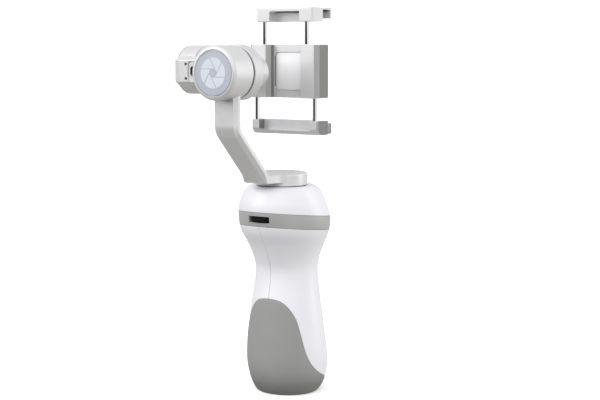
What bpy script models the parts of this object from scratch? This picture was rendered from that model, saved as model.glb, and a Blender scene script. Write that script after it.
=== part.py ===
"""Three-axis phone gimbal: handle, pan arm, roll arm, tilt head and spring jaws.

Lengths are in millimetres and are turned into Blender's metres by MM when a mesh is made.
The origin is the foot of the pan axis on the base plane. +Z runs up the handle, +Y points to the
user and -Y to the rear, where the zoom dial, the rubber grip and the roll motor are.
"""
import math

import bmesh
import bpy

MM = 0.001
GAP = 0.3                     # clearance between neighbouring pieces
FINE = 40                     # sides of the large round pieces
COARSE = 20                   # sides of small and hidden round pieces

# Handle
WALL = 2.6                    # casing wall
PAD_THICK = 1.3               # rubber grip inlay
CAP_TOP = 6.5                 # joint between base cap and shells
BAND_LOW = 111.0              # band edges on the pan axis
BAND_HIGH = 120.1
BAND_SLOPE = 0.105            # the band drops towards the user
SHOULDER_TOP = 139.0
GRIP_CENTRE_Y = 6.0           # the grip's own centre line sits behind the pan axis
# height, half width (X), half depth (Y), centre Y
GRIP_STATIONS = (
    (0.0, 20.6, 19.6, 6.3),
    (3.2, 23.0, 22.2, 6.8),
    (10.0, 25.8, 25.0, 7.0),
    (21.0, 27.4, 26.4, 6.4),
    (32.0, 27.0, 25.2, 5.7),
    (46.0, 25.6, 23.6, 5.4),
    (61.0, 23.7, 21.7, 5.3),
    (75.0, 22.0, 19.5, 5.8),
    (84.0, 21.6, 18.9, 5.8),
    (92.0, 22.9, 21.2, 5.6),
    (100.0, 25.9, 24.6, 5.2),
    (108.0, 29.3, 28.6, 4.2),
    (113.5, 30.4, 30.0, 3.7),
    (119.5, 30.5, 30.3, 3.1),
    (124.0, 29.8, 29.2, 1.9),
    (129.0, 28.4, 27.8, 1.3),
    (136.0, 25.0, 24.6, 1.1),
    (138.2, 22.9, 22.5, 1.0),
    (139.0, 20.8, 20.4, 1.0),
)
# Upper edge of the rubber grip, as height against Y
PAD_EDGE = ((-16.4, 64.6), (-15.2, 63.2), (-14.1, 61.0), (-12.0, 56.0), (-9.8, 50.0), (-8.7, 40.6),
            (-6.9, 30.4), (-3.5, 22.2), (3.4, 15.6), (13.5, 10.8), (22.0, 6.0))

# Base and battery
TRIPOD_Y = 8.0
INSERT_OUTER = 4.7
INSERT_INNER = 3.2            # quarter-inch camera thread
CELL_RADIUS = 13.0
CELL_LOW = 14.0
CELL_HIGH = 79.0

# Controls in the band
DIAL_RADIUS = 9.0
DIAL_HEIGHT = 3.8
DIAL_Z = 118.4
DIAL_Y = -18.6
CONTROL_Z = 112.0
BUTTON_RADIUS = 3.1
BUTTON_X = 11.0
STICK_RADIUS = 4.0
STEM_RADIUS = 1.6
STICK_DEPTH = 5.0             # pivot of the joystick, behind the band's surface

# Circuit board, facing the dial
BOARD_Y = 1.0
BOARD_THICK = 1.4

# Motors
MOTOR_RADIUS = 17.0
MOTOR_WALL = 1.4
MAGNET_OUTER = 15.2
MAGNET_INNER = 14.2
COIL_OUTER = 13.8
COIL_INNER = 6.8
TUBE_OUTER = 6.4
TUBE_INNER = 5.2
SHAFT_RADIUS = 2.8
SHAFT_BORE = 1.4
PAN_TOP = 147.4
PAN_BOTTOM = SHOULDER_TOP + 0.4
PAN_PLATE_LOW = 126.0         # underside of the pan motor's mounting plate
PAN_CORE_TOP = 143.5          # top of the pan shaft and the magnet ring
PAN_COVER_RADIUS = 12.0
BADGE_RADIUS = 14.0
AXIS_Z = 213.7                # roll and tilt axes
ROLL_FRONT = -74.1
ROLL_SPLIT = -54.4
ROLL_REAR = -43.7
ROLL_BELL_RADIUS = 17.5
TILT_Y = 20.0
TILT_LEFT = -91.4
TILT_SPLIT = -75.4
TILT_RIGHT = -60.4

# Arms
ARM_HALF_WIDTH = 9.25
YAW_ARM_THICK = 5.2
YAW_ARM_Y = -60.4
FOOT_Z = PAN_TOP - YAW_ARM_THICK / 2.0 - 0.2
YAW_KNEE_Z = 177.0            # where the arm starts to slant
YAW_BEND = 9.0                # radius of that bend on the arm's centre line
YAW_COVER_THICK = 1.0
YAW_COVER_HALF = 7.2
ARM_CHAMFER = 2.4
FOOT_FILLET = 12.0            # rounds the foot of the yaw arm into the pan motor
ROLL_ARM_THICK = 7.0
ROLL_ARM_Y = -31.5
ROLL_ARM_END = 9.8
ROLL_ARM_CORNER = -59.6
USB_X = -47.4
USB_WIDE = 1.5
USB_HIGH = 3.3
SCREW_X = -52.1
SCREW_UP = 4.7
SCREW_RADIUS = 0.8

# Clamp
BODY_WIDE = 27.2
BODY_HALF = 17.5
BODY_FRONT = 1.0
BODY_BACK = 14.6
BODY_CHAMFER = 2.7
RAIL_LEFT_EDGE = -10.9
RAIL_RIGHT_EDGE = 14.2
RAIL_CHAMFER = 2.6             # on the left rail's inner edge
PLATE_FRONT = 7.2
PLATE_MARGIN = 0.8             # between the left rail and the plate's recess
RECESS_HALF = 12.6
ROD_RADIUS = 1.9
ROD_Y = 5.6
UPPER_ROD_X = 16.6
LOWER_ROD_X = 22.9
ROD_TOP = 37.5
ROD_BOTTOM = -5.5
JAW_LOW = 32.3
JAW_HIGH = 41.5
JAW_FRONT = 3.0
JAW_LIP = 26.2
JAW_EDGE = 0.8                 # chamfer of the jaws' long edges
LOWER_HEEL = 3.7               # deep chamfer under the lower jaw's rod blocks
UPPER_JAW_WIDE = 22.2
UPPER_BLOCK = 9.5              # width of the blocks that hold the rods
LOWER_JAW_WIDE = 26.4
LOWER_BLOCK = 6.2
LIP_WIDE = 22.2
SPRING_X = (-6.5, 7.9)
SPRING_Y = 12.0
SPRING_OUTER = 1.6
PHONE_BACK = 16.3
PHONE_FRONT = 24.0
PHONE_HALF = 38.95

WHITE = ((0.86, 0.86, 0.87), 0.35, 0.0)
WARM_GREY = ((0.60, 0.59, 0.57), 0.38, 0.1)
BAND_GREY = ((0.30, 0.30, 0.29), 0.5, 0.0)
RUBBER = ((0.25, 0.25, 0.24), 0.8, 0.0)
DARK_RUBBER = ((0.03, 0.03, 0.03), 0.8, 0.0)
BLACK = ((0.01, 0.01, 0.01), 0.45, 0.0)
BADGE = ((0.48, 0.50, 0.56), 0.4, 0.3)
CHROME = ((0.8, 0.8, 0.8), 0.12, 1.0)
STEEL = ((0.55, 0.55, 0.56), 0.3, 1.0)
BRASS = ((0.72, 0.55, 0.25), 0.3, 1.0)
COPPER = ((0.72, 0.34, 0.18), 0.35, 1.0)
BOARD = ((0.03, 0.22, 0.10), 0.5, 0.0)
CELL = ((0.08, 0.20, 0.45), 0.4, 0.0)


# ---------------------------------------------------------------- helpers

def material(name, finish):
    """A Principled material of one colour, roughness and metallic value."""
    colour, roughness, metallic = finish
    made = bpy.data.materials.new(name)
    made.use_nodes = True
    shader = made.node_tree.nodes["Principled BSDF"]
    shader.inputs["Base Color"].default_value = (*colour, 1.0)
    shader.inputs["Roughness"].default_value = roughness
    shader.inputs["Metallic"].default_value = metallic
    return made


def finish_object(name, bm, finish, pivot=(0.0, 0.0, 0.0)):
    """Turn a bmesh in millimetres into an object whose origin is at pivot."""
    bmesh.ops.recalc_face_normals(bm, faces=bm.faces[:])
    for vert in bm.verts:
        vert.co = (vert.co - type(vert.co)(pivot)) * MM
    mesh = bpy.data.meshes.new(name)
    bm.to_mesh(mesh)
    bm.free()
    thing = bpy.data.objects.new(name, mesh)
    thing.location = [value * MM for value in pivot]
    bpy.context.scene.collection.objects.link(thing)
    mesh.materials.append(material(name, finish))
    mesh.shade_smooth()
    mesh.set_sharp_from_angle(angle=math.radians(35.0))
    return thing


def on_axis(axis, along, side, up):
    """Point at a height along an axis, with two coordinates across it."""
    if axis == "X":
        return (along, side, up)
    if axis == "Y":
        return (side, along, up)
    return (side, up, along)


def turned_mesh(outline, axis, centre, sides):
    """Turn a closed (radius, height) outline about an axis through centre; flat ends are one face each."""
    bm = bmesh.new()
    rings = []
    for index, (radius, height) in enumerate(outline):
        if radius == 0.0:
            neighbours = (outline[index - 1], outline[(index + 1) % len(outline)])
            if any(other[0] > 0.0 and other[1] == height for other in neighbours):
                rings.append(None)
            else:
                rings.append([bm.verts.new(on_axis(axis, height, centre[0], centre[1]))])
            continue
        ring = []
        for step in range(sides):
            angle = 2.0 * math.pi * step / sides
            side = centre[0] + radius * math.cos(angle)
            up = centre[1] + radius * math.sin(angle)
            ring.append(bm.verts.new(on_axis(axis, height, side, up)))
        rings.append(ring)
    for lower, upper in zip(rings, rings[1:] + rings[:1]):
        if lower is not None and upper is not None:
            bridge(bm, lower, upper)
            continue
        rim = lower or upper
        if rim and len(rim) > 1:
            bm.faces.new(rim)
    return bm


def bridge(bm, lower, upper):
    """Join two rings of points, either of which may be one point on the axis."""
    count = max(len(lower), len(upper))
    if count == 1:
        return
    for index in range(count):
        after = (index + 1) % count
        if len(lower) == 1:
            bm.faces.new((lower[0], upper[after], upper[index]))
        elif len(upper) == 1:
            bm.faces.new((lower[index], lower[after], upper[0]))
        else:
            bm.faces.new((lower[index], lower[after], upper[after], upper[index]))


def turned(name, outline, axis, centre, finish, sides=FINE, pivot=(0.0, 0.0, 0.0)):
    return finish_object(name, turned_mesh(outline, axis, centre, sides), finish, pivot)


def disc_outline(radius, low, high, edge=0.0):
    """Outline of a solid disc whose high edge is rounded by edge."""
    outline = [(0.0, low), (radius, low)]
    if edge == 0.0:
        outline.append((radius, high))
    else:
        direction = 1.0 if high > low else -1.0
        for step in range(4):
            angle = math.radians(30.0 * step)
            outline.append((radius - edge + edge * math.cos(angle),
                            high - direction * edge * (1.0 - math.sin(angle))))
    outline.append((0.0, high))
    return outline


def ring_outline(inner, outer, low, high):
    return [(inner, low), (outer, low), (outer, high), (inner, high)]


def prism_mesh(outline, axis, low, high):
    """Extrude an outline of two coordinates across the axis from low to high."""
    bm = bmesh.new()
    first = [bm.verts.new(on_axis(axis, low, side, up)) for side, up in outline]
    last = [bm.verts.new(on_axis(axis, high, side, up)) for side, up in outline]
    bm.faces.new(first)
    bm.faces.new(last)
    bridge(bm, first, last)
    return bm


def prism(name, outline, axis, low, high, finish, pivot=(0.0, 0.0, 0.0)):
    return finish_object(name, prism_mesh(outline, axis, low, high), finish, pivot)


def block(name, low, high, finish, bevel=0.0, pivot=(0.0, 0.0, 0.0)):
    """A box between two corners with its edges bevelled."""
    outline = ((low[0], low[1]), (high[0], low[1]), (high[0], high[1]), (low[0], high[1]))
    bm = prism_mesh(outline, "Z", low[2], high[2])
    if bevel > 0.0:
        bmesh.ops.bevel(bm, geom=bm.edges[:], offset=bevel, segments=1, affect="EDGES", profile=0.5)
    return finish_object(name, bm, finish, pivot)


def combine(target, tool, operation):
    """Apply a Boolean with tool to target, and take the tool away."""
    modifier = target.modifiers.new(operation.lower(), "BOOLEAN")
    modifier.operation = operation
    modifier.object = tool
    bpy.context.view_layer.update()
    graph = bpy.context.evaluated_depsgraph_get()
    result = bpy.data.meshes.new_from_object(target.evaluated_get(graph))
    target.modifiers.clear()
    target.data = result
    bpy.data.objects.remove(tool)
    result.shade_smooth()
    result.set_sharp_from_angle(angle=math.radians(35.0))


def cut(target, tool):
    combine(target, tool, "DIFFERENCE")


def join(target, tool):
    combine(target, tool, "UNION")


def keep_inside(target, tool):
    combine(target, tool, "INTERSECT")


def filleted(points, radius, steps=4):
    """Round the inner corners of an open path with arcs."""
    path = [points[0]]
    for before, corner, after in zip(points, points[1:], points[2:]):
        to_start = math.atan2(before[1] - corner[1], before[0] - corner[0])
        to_end = math.atan2(after[1] - corner[1], after[0] - corner[0])
        turn = (to_end - to_start + math.pi) % (2.0 * math.pi) - math.pi
        reach = radius / abs(math.tan(turn / 2.0))
        middle = to_start + turn / 2.0
        away = radius / abs(math.sin(turn / 2.0))
        centre = (corner[0] + away * math.cos(middle), corner[1] + away * math.sin(middle))
        start = (corner[0] + reach * math.cos(to_start), corner[1] + reach * math.sin(to_start))
        first = math.atan2(start[1] - centre[1], start[0] - centre[0])
        sweep = -math.copysign(math.pi - abs(turn), turn)
        for step in range(steps + 1):
            angle = first + sweep * step / steps
            path.append((centre[0] + radius * math.cos(angle), centre[1] + radius * math.sin(angle)))
    path.append(points[-1])
    return path


def bar_section(half_width, thick, chamfer):
    """Cross-section of an arm: (across, out), chamfered where out is negative."""
    half = thick / 2.0
    return ((-half_width, half), (-half_width, chamfer - half), (chamfer - half_width, -half),
            (half_width - chamfer, -half), (half_width, chamfer - half), (half_width, half))


def swept(name, path, section, place, finish, pivot=(0.0, 0.0, 0.0)):
    """Sweep a section along a flat path; place turns (along a, along b, across) into a point."""
    bm = bmesh.new()
    rings = []
    for index, point in enumerate(path):
        before = path[max(index - 1, 0)]
        after = path[min(index + 1, len(path) - 1)]
        first = math.atan2(point[1] - before[1], point[0] - before[0])
        second = math.atan2(after[1] - point[1], after[0] - point[0])
        if index == 0:
            first = second
        if index == len(path) - 1:
            second = first
        bend = (second - first + math.pi) % (2.0 * math.pi) - math.pi
        heading = first + bend / 2.0
        stretch = 1.0 / math.cos(bend / 2.0)
        normal = (-math.sin(heading) * stretch, math.cos(heading) * stretch)
        rings.append([bm.verts.new(place(point[0] + out * normal[0], point[1] + out * normal[1], across))
                      for across, out in section])
    for lower, upper in zip(rings, rings[1:]):
        bridge(bm, lower, upper)
    bm.faces.new(rings[0])
    bm.faces.new(rings[-1])
    return finish_object(name, bm, finish, pivot)


def coil_outline(teeth, inner, slot, outer):
    """Outline of a wound stator: a hub with T-shaped teeth."""
    outline = []
    for tooth in range(teeth):
        for offset, radius in ((-0.36, slot), (-0.14, slot), (-0.14, outer - 1.6), (-0.36, outer),
                               (0.36, outer), (0.14, outer - 1.6), (0.14, slot), (0.36, slot)):
            angle = 2.0 * math.pi * (tooth + offset) / teeth
            outline.append((radius * math.cos(angle), radius * math.sin(angle)))
    return outline


# ---------------------------------------------------------------- handle

def grip_section(height):
    """Half width, half depth and centre Y of the grip at a height, on a smooth curve."""
    stations = GRIP_STATIONS
    height = min(max(height, stations[0][0]), stations[-1][0])
    index = 0
    while index < len(stations) - 2 and height > stations[index + 1][0]:
        index += 1
    low, high = stations[index], stations[index + 1]
    before = stations[max(index - 1, 0)]
    after = stations[min(index + 2, len(stations) - 1)]
    span = high[0] - low[0]
    t = (height - low[0]) / span
    values = []
    for field in (1, 2, 3):
        start_slope = (high[field] - before[field]) / (high[0] - before[0])
        end_slope = (after[field] - low[field]) / (after[0] - low[0])
        values.append((2 * t**3 - 3 * t**2 + 1) * low[field] + (t**3 - 2 * t**2 + t) * span * start_slope
                      + (3 * t**2 - 2 * t**3) * high[field] + (t**3 - t**2) * span * end_slope)
    return values


def grip_point(angle, low_plane, high_plane, share, inset):
    """Point on the grip, inset from its surface, at a share of the way between two planes."""
    y = GRIP_CENTRE_Y
    for _ in range(4):
        low = low_plane[0] - low_plane[1] * y
        high = high_plane[0] - high_plane[1] * y
        z = low + (high - low) * share
        half_width, half_depth, centre = grip_section(z)
        y = centre + (half_depth - inset) * math.sin(angle)
    return ((half_width - inset) * math.cos(angle), y, z)


def grip_wall_mesh(low_plane, high_plane, outer, inner, levels, start=0.0, end=360.0, sides=FINE,
                   spread=0.0):
    """A wall of the grip between two insets; a half wall is moved off the middle by spread."""
    bm = bmesh.new()
    whole = end - start >= 360.0
    count = sides if whole else sides + 1
    shares = [level / levels for level in range(levels + 1)]
    loops = []
    for step in range(count):
        angle = math.radians(start + (end - start) * step / sides)
        up = [grip_point(angle, low_plane, high_plane, share, outer) for share in shares]
        down = [grip_point(angle, low_plane, high_plane, share, inner) for share in reversed(shares)]
        loops.append([bm.verts.new((x + spread, y, z)) for x, y, z in up + down])
    pairs = list(zip(loops, loops[1:] + loops[:1])) if whole else list(zip(loops, loops[1:]))
    for first, second in pairs:
        bridge(bm, first, second)
    if not whole:
        for loop in (loops[0], loops[-1]):
            for level in range(levels):
                bm.faces.new((loop[level], loop[level + 1], loop[-level - 2], loop[-level - 1]))
    return bm


def grip_solid_mesh(low_plane, high_plane, inset, levels, sides=FINE):
    bm = bmesh.new()
    rings = []
    for level in range(levels + 1):
        ring = []
        for step in range(sides):
            angle = 2.0 * math.pi * step / sides
            ring.append(bm.verts.new(grip_point(angle, low_plane, high_plane, level / levels, inset)))
        rings.append(ring)
    for lower, upper in zip(rings, rings[1:]):
        bridge(bm, lower, upper)
    bm.faces.new(rings[0])
    bm.faces.new(rings[-1])
    return bm


def pad_region(name, margin):
    """Everything under the rubber grip's curved upper edge, drawn in by margin."""
    outline = [(-40.0, 0.0), (-40.0, PAD_EDGE[0][1] - margin)]
    outline += [(y - margin, z - margin) for y, z in PAD_EDGE]
    outline.append((PAD_EDGE[-1][0] - margin, 0.0))
    return prism(name, outline, "X", -40.0, 40.0, RUBBER)


def make_shells():
    low = (CAP_TOP + GAP, 0.0)
    high = (BAND_LOW - GAP, BAND_SLOPE)
    for name, start, spread in (("grip_shell_right", -90.0, 0.15), ("grip_shell_left", 90.0, -0.15)):
        bm = grip_wall_mesh(low, high, 0.0, WALL, 12, start, start + 180.0, FINE // 2, spread)
        shell = finish_object(name, bm, WHITE)
        space_mesh = grip_wall_mesh((CAP_TOP - 1.0, 0.0), (66.0, 0.0), -2.0, PAD_THICK + GAP, 7)
        space = finish_object("pad_space", space_mesh, RUBBER)
        keep_inside(space, pad_region("pad_cutter", 0.0))
        cut(shell, space)


def make_pad():
    bm = grip_wall_mesh((CAP_TOP + GAP, 0.0), (66.0, 0.0), 0.0, PAD_THICK, 7)
    pad = finish_object("grip_pad", bm, RUBBER)
    keep_inside(pad, pad_region("pad_outline", GAP))


def make_base():
    cap = finish_object("base_cap", grip_solid_mesh((0.0, 0.0), (CAP_TOP, 0.0), 0.0, 3), RUBBER)
    cut(cap, turned("socket_hole", disc_outline(INSERT_OUTER + GAP, -2.0, CAP_TOP + 2.0), "Z",
                    (0.0, TRIPOD_Y), STEEL, COARSE))
    turned("tripod_insert", ring_outline(INSERT_INNER, INSERT_OUTER, GAP, CAP_TOP - GAP), "Z",
           (0.0, TRIPOD_Y), BRASS, COARSE)


def make_battery():
    centre = (0.0, GRIP_CENTRE_Y)
    outline = [(0.0, CELL_LOW), (CELL_RADIUS - 1.0, CELL_LOW), (CELL_RADIUS, CELL_LOW + 1.0),
               (CELL_RADIUS, CELL_HIGH - 2.5), (CELL_RADIUS - 1.0, CELL_HIGH - 1.5), (4.0, CELL_HIGH - 1.5),
               (4.0, CELL_HIGH), (0.0, CELL_HIGH)]
    turned("battery_cell", outline, "Z", centre, CELL, 24)
    cradle = []
    inside = [(CELL_RADIUS + GAP, angle) for angle in range(180, 361, 15)]
    outside = [(CELL_RADIUS + 1.7, angle) for angle in range(360, 179, -15)]
    for radius, degrees in inside + outside:
        angle = math.radians(degrees)
        cradle.append((radius * math.cos(angle), GRIP_CENTRE_Y + radius * math.sin(angle)))
    prism("battery_cradle", cradle, "Z", CELL_LOW - 1.0, CELL_HIGH - 2.0, BLACK)
    contacts = (("battery_contact_low", 6.0, CELL_LOW - 2.5, CELL_LOW - GAP),
                ("battery_contact_high", 5.0, CELL_HIGH + GAP, CELL_HIGH + 1.5))
    for name, radius, low, high in contacts:
        turned(name, disc_outline(radius, low, high), "Z", centre, BRASS, COARSE)


def make_boards():
    back = BOARD_Y + BOARD_THICK
    block("main_board", (-11.0, BOARD_Y, 84.0), (11.0, back, 107.0), BOARD, 0.2)
    block("processor", (-4.0, back + GAP, 92.0), (4.0, back + 1.5, 100.0), BLACK, 0.2)


def make_shoulder():
    low = (BAND_HIGH + GAP, BAND_SLOPE)
    shoulder = finish_object("top_shoulder", grip_solid_mesh(low, (SHOULDER_TOP, 0.0), 0.0, 6), WHITE)
    hollow = grip_solid_mesh((BAND_HIGH - 1.0, BAND_SLOPE), (SHOULDER_TOP - WALL, 0.0), WALL, 3)
    cut(shoulder, finish_object("shoulder_hollow", hollow, WHITE))
    hole = disc_outline(MOTOR_RADIUS - 0.7, SHOULDER_TOP - 6.0, SHOULDER_TOP + 2.0)
    cut(shoulder, turned("motor_hole", hole, "Z", (0.0, 0.0), WHITE))


def make_band():
    low = (BAND_LOW, BAND_SLOPE)
    high = (BAND_HIGH, BAND_SLOPE)
    band = finish_object("control_band", grip_wall_mesh(low, high, 0.0, WALL, 2), BAND_GREY)
    window = block("dial_window", (-8.0, -40.0, DIAL_Z - DIAL_HEIGHT / 2 - GAP),
                   (8.0, -22.0, DIAL_Z + DIAL_HEIGHT / 2 + GAP), BLACK)
    cut(band, window)
    for x, radius in ((0.0, STICK_RADIUS), (-BUTTON_X, BUTTON_RADIUS), (BUTTON_X, BUTTON_RADIUS)):
        hole = disc_outline(radius + GAP, 20.0, 40.0)
        cut(band, turned("control_hole", hole, "Y", (x, CONTROL_Z), BLACK, COARSE))


def make_dial():
    """Thumb wheel with a knurled rim, standing out of the band's rear window."""
    knurls = 36
    outline = []
    for index in range(knurls * 2):
        radius = DIAL_RADIUS if index % 2 == 0 else DIAL_RADIUS - 0.5
        angle = math.pi * index / knurls
        outline.append((radius * math.cos(angle), DIAL_Y + radius * math.sin(angle)))
    low = DIAL_Z - DIAL_HEIGHT / 2
    high = DIAL_Z + DIAL_HEIGHT / 2
    pivot = (0.0, DIAL_Y, DIAL_Z)
    dial = prism("zoom_dial", outline, "Z", low, high, BLACK, pivot)
    cut(dial, turned("dial_bore", disc_outline(2.3, low - 1, high + 1), "Z", (0.0, DIAL_Y), BLACK, COARSE))
    turned("dial_pin", disc_outline(2.0, low - 2.5, high + 1.5), "Z", (0.0, DIAL_Y), STEEL, COARSE)


def make_controls():
    """Joystick on its two-axis cradle, and two push buttons, facing the user."""
    face = grip_section(CONTROL_Z)
    front = face[2] + face[1]
    pivot = (0.0, front - STICK_DEPTH, CONTROL_Z)
    outline = [(0.0, front - 7.0), (STEM_RADIUS, front - 7.0), (STEM_RADIUS, front + 1.1),
               (STICK_RADIUS - 0.4, front + 1.1), (STICK_RADIUS - 0.4, front + 1.9),
               (STICK_RADIUS - 1.2, front + 2.7), (0.0, front + 2.7)]
    turned("joystick_cap", outline, "Y", (0.0, CONTROL_Z), BLACK, COARSE, pivot)
    ring = ring_outline(STEM_RADIUS + 0.6, STICK_RADIUS, pivot[1] - 1.5, pivot[1] + 1.5)
    turned("joystick_cradle", ring, "Y", (0.0, CONTROL_Z), STEEL, COARSE, pivot)
    for name, x in (("function_button", -BUTTON_X), ("shutter_button", BUTTON_X)):
        skin = face[2] + face[1] * math.sqrt(1.0 - (x / face[0]) ** 2)
        outline = [(0.0, skin - 6.0), (BUTTON_RADIUS, skin - 6.0), (BUTTON_RADIUS, skin + 0.9),
                   (BUTTON_RADIUS - 0.6, skin + 1.5), (0.0, skin + 1.5)]
        turned(name, outline, "Y", (x, CONTROL_Z), WHITE, COARSE, (x, skin, CONTROL_Z))


# ---------------------------------------------------------------- motors

def make_motor(prefix, axis, centre, base, coil_low, coil_high):
    """Windings, bearing and centre tube of a motor; base is where the tube stands."""
    direction = 1.0 if coil_high > coil_low else -1.0
    outline = coil_outline(9, COIL_INNER, COIL_INNER + 2.2, COIL_OUTER)
    shifted = [(side + centre[0], up + centre[1]) for side, up in outline]
    coil = prism(prefix + "_windings", shifted, axis, coil_low, coil_high, COPPER)
    bore = disc_outline(COIL_INNER, coil_low - direction, coil_high + direction)
    cut(coil, turned("coil_bore", bore, axis, centre, COPPER, COARSE))
    middle = (coil_low + coil_high) / 2.0
    bearing = ring_outline(SHAFT_RADIUS + GAP, TUBE_INNER - GAP, middle - 1.5, middle + 1.5)
    turned(prefix + "_bearing", bearing, axis, centre, STEEL, COARSE)
    tube = ring_outline(TUBE_INNER, TUBE_OUTER, base, coil_high)
    turned(prefix + "_stator_tube", tube, axis, centre, STEEL, COARSE)


def make_pan_motor():
    plate = ring_outline(TUBE_OUTER + GAP, MOTOR_RADIUS - 1.0, PAN_PLATE_LOW, PAN_PLATE_LOW + 2.5)
    turned("pan_motor_plate", plate, "Z", (0.0, 0.0), STEEL, 32)
    make_motor("pan", "Z", (0.0, 0.0), PAN_PLATE_LOW, PAN_PLATE_LOW + 3.5, PAN_CORE_TOP - 2.5)
    magnets = ring_outline(MAGNET_INNER, MAGNET_OUTER, PAN_PLATE_LOW + 4.0, PAN_CORE_TOP)
    turned("pan_magnet_ring", magnets, "Z", (0.0, 0.0), STEEL, 32)
    shaft = ring_outline(SHAFT_BORE, SHAFT_RADIUS, PAN_PLATE_LOW, PAN_CORE_TOP)
    turned("pan_shaft", shaft, "Z", (0.0, 0.0), STEEL, COARSE)


def yaw_place(a, b, across):
    return (across, a, b)


def foot_outline():
    """Plan of the foot: a tab that widens into the round pan motor with a fillet on each side."""
    centre_x = ARM_HALF_WIDTH + FOOT_FILLET
    centre_y = -math.sqrt((MOTOR_RADIUS + FOOT_FILLET) ** 2 - centre_x**2)
    end = math.atan2(-centre_y, -centre_x)
    right = [(ARM_HALF_WIDTH - 0.1, centre_y - 3.0)]
    for step in range(7):
        angle = math.pi + (end - math.pi) * step / 6.0
        right.append((centre_x + FOOT_FILLET * math.cos(angle), centre_y + FOOT_FILLET * math.sin(angle)))
    right.append((4.0, -3.0))
    return right + [(-x, y) for x, y in reversed(right)]


def make_yaw_arm():
    corner_high = (YAW_ARM_Y, YAW_KNEE_Z)
    corner_low = (YAW_ARM_Y + YAW_KNEE_Z - FOOT_Z, FOOT_Z)
    path = [(YAW_ARM_Y, AXIS_Z - 11.0)]
    path += filleted([path[0], corner_high, corner_low], YAW_BEND)[1:-1]
    path += [corner_low, (-4.0, FOOT_Z)]
    section = bar_section(ARM_HALF_WIDTH, YAW_ARM_THICK, ARM_CHAMFER)
    arm = swept("yaw_arm", path, section, yaw_place, WARM_GREY)
    can = disc_outline(MOTOR_RADIUS, PAN_BOTTOM, PAN_TOP, 1.6)
    join(arm, turned("pan_can", can, "Z", (0.0, 0.0), WARM_GREY))
    web_low = FOOT_Z - YAW_ARM_THICK / 2.0 + 0.25
    web_high = FOOT_Z + YAW_ARM_THICK / 2.0 - 0.15
    join(arm, prism("foot_web", foot_outline(), "Z", web_low, web_high, WARM_GREY))
    can = [(0.0, ROLL_SPLIT - GAP), (MOTOR_RADIUS, ROLL_SPLIT - GAP), (MOTOR_RADIUS, ROLL_FRONT + 2.4),
           (MOTOR_RADIUS - 0.7, ROLL_FRONT + 0.8), (MOTOR_RADIUS - 2.2, ROLL_FRONT), (0.0, ROLL_FRONT)]
    join(arm, turned("roll_can", can, "Y", (0.0, AXIS_Z), WARM_GREY))
    cavity = disc_outline(MOTOR_RADIUS - MOTOR_WALL, PAN_BOTTOM - 2.0, PAN_CORE_TOP + 0.5)
    cut(arm, turned("pan_cavity", cavity, "Z", (0.0, 0.0), WARM_GREY))
    cavity = disc_outline(MOTOR_RADIUS - MOTOR_WALL, ROLL_SPLIT + 2.0, ROLL_FRONT + 3.4)
    cut(arm, turned("roll_cavity", cavity, "Y", (0.0, AXIS_Z), WARM_GREY))
    recess = disc_outline(BADGE_RADIUS + GAP, ROLL_FRONT - 2.0, ROLL_FRONT + 1.2)
    cut(arm, turned("badge_recess", recess, "Y", (0.0, AXIS_Z), WARM_GREY))
    recess = disc_outline(PAN_COVER_RADIUS + GAP, PAN_TOP - 1.4, PAN_TOP + 2.0)
    cut(arm, turned("cover_recess", recess, "Z", (0.0, 0.0), WARM_GREY))


def make_pan_arm_details():
    badge = disc_outline(BADGE_RADIUS, ROLL_FRONT + 0.9, ROLL_FRONT - 0.1)
    turned("badge_disc", badge, "Y", (0.0, AXIS_Z), BADGE)
    cover = disc_outline(PAN_COVER_RADIUS, PAN_TOP - 1.1, PAN_TOP - 0.2)
    turned("pan_top_cover", cover, "Z", (0.0, 0.0), WARM_GREY)
    half = YAW_COVER_THICK / 2.0
    away = YAW_ARM_THICK / 2.0 + GAP + half
    knee = (YAW_ARM_Y + away, YAW_KNEE_Z + away * math.tan(math.radians(22.5)))
    slant = YAW_KNEE_Z - FOOT_Z - 8.0
    corners = [(knee[0], 194.0), knee, (knee[0] + slant, knee[1] - slant)]
    strip = ((-YAW_COVER_HALF, half), (-YAW_COVER_HALF, -half),
             (YAW_COVER_HALF, -half), (YAW_COVER_HALF, half))
    swept("yaw_arm_cover", filleted(corners, YAW_BEND - away), strip, yaw_place, WARM_GREY)
    make_motor("roll", "Y", (0.0, AXIS_Z), ROLL_FRONT + 3.7, ROLL_FRONT + 6.0, ROLL_SPLIT - 3.0)


def make_roll_rotor():
    """Bell of the roll motor: the outer disc with the magnet ring that reaches into the can."""
    bell = [(0.0, ROLL_REAR), (ROLL_BELL_RADIUS - 1.6, ROLL_REAR), (ROLL_BELL_RADIUS, ROLL_REAR - 1.6),
            (ROLL_BELL_RADIUS, ROLL_SPLIT + GAP), (MAGNET_OUTER, ROLL_SPLIT + GAP),
            (MAGNET_OUTER, ROLL_FRONT + 5.0), (MAGNET_INNER, ROLL_FRONT + 5.0),
            (MAGNET_INNER, ROLL_SPLIT - 1.0), (0.0, ROLL_SPLIT - 1.0)]
    pivot = (0.0, ROLL_REAR, AXIS_Z)
    rotor = turned("roll_rotor", bell, "Y", (0.0, AXIS_Z), WARM_GREY, FINE, pivot)
    bore = disc_outline(SHAFT_RADIUS + GAP, ROLL_SPLIT - 3.0, ROLL_REAR - 3.0)
    cut(rotor, turned("shaft_bore", bore, "Y", (0.0, AXIS_Z), STEEL, COARSE))
    shaft = ring_outline(SHAFT_BORE, SHAFT_RADIUS, ROLL_FRONT + 5.0, ROLL_REAR - 3.3)
    turned("roll_shaft", shaft, "Y", (0.0, AXIS_Z), STEEL, COARSE, pivot)


def roll_place(a, b, across):
    return (a, b, AXIS_Z + across)


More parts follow.
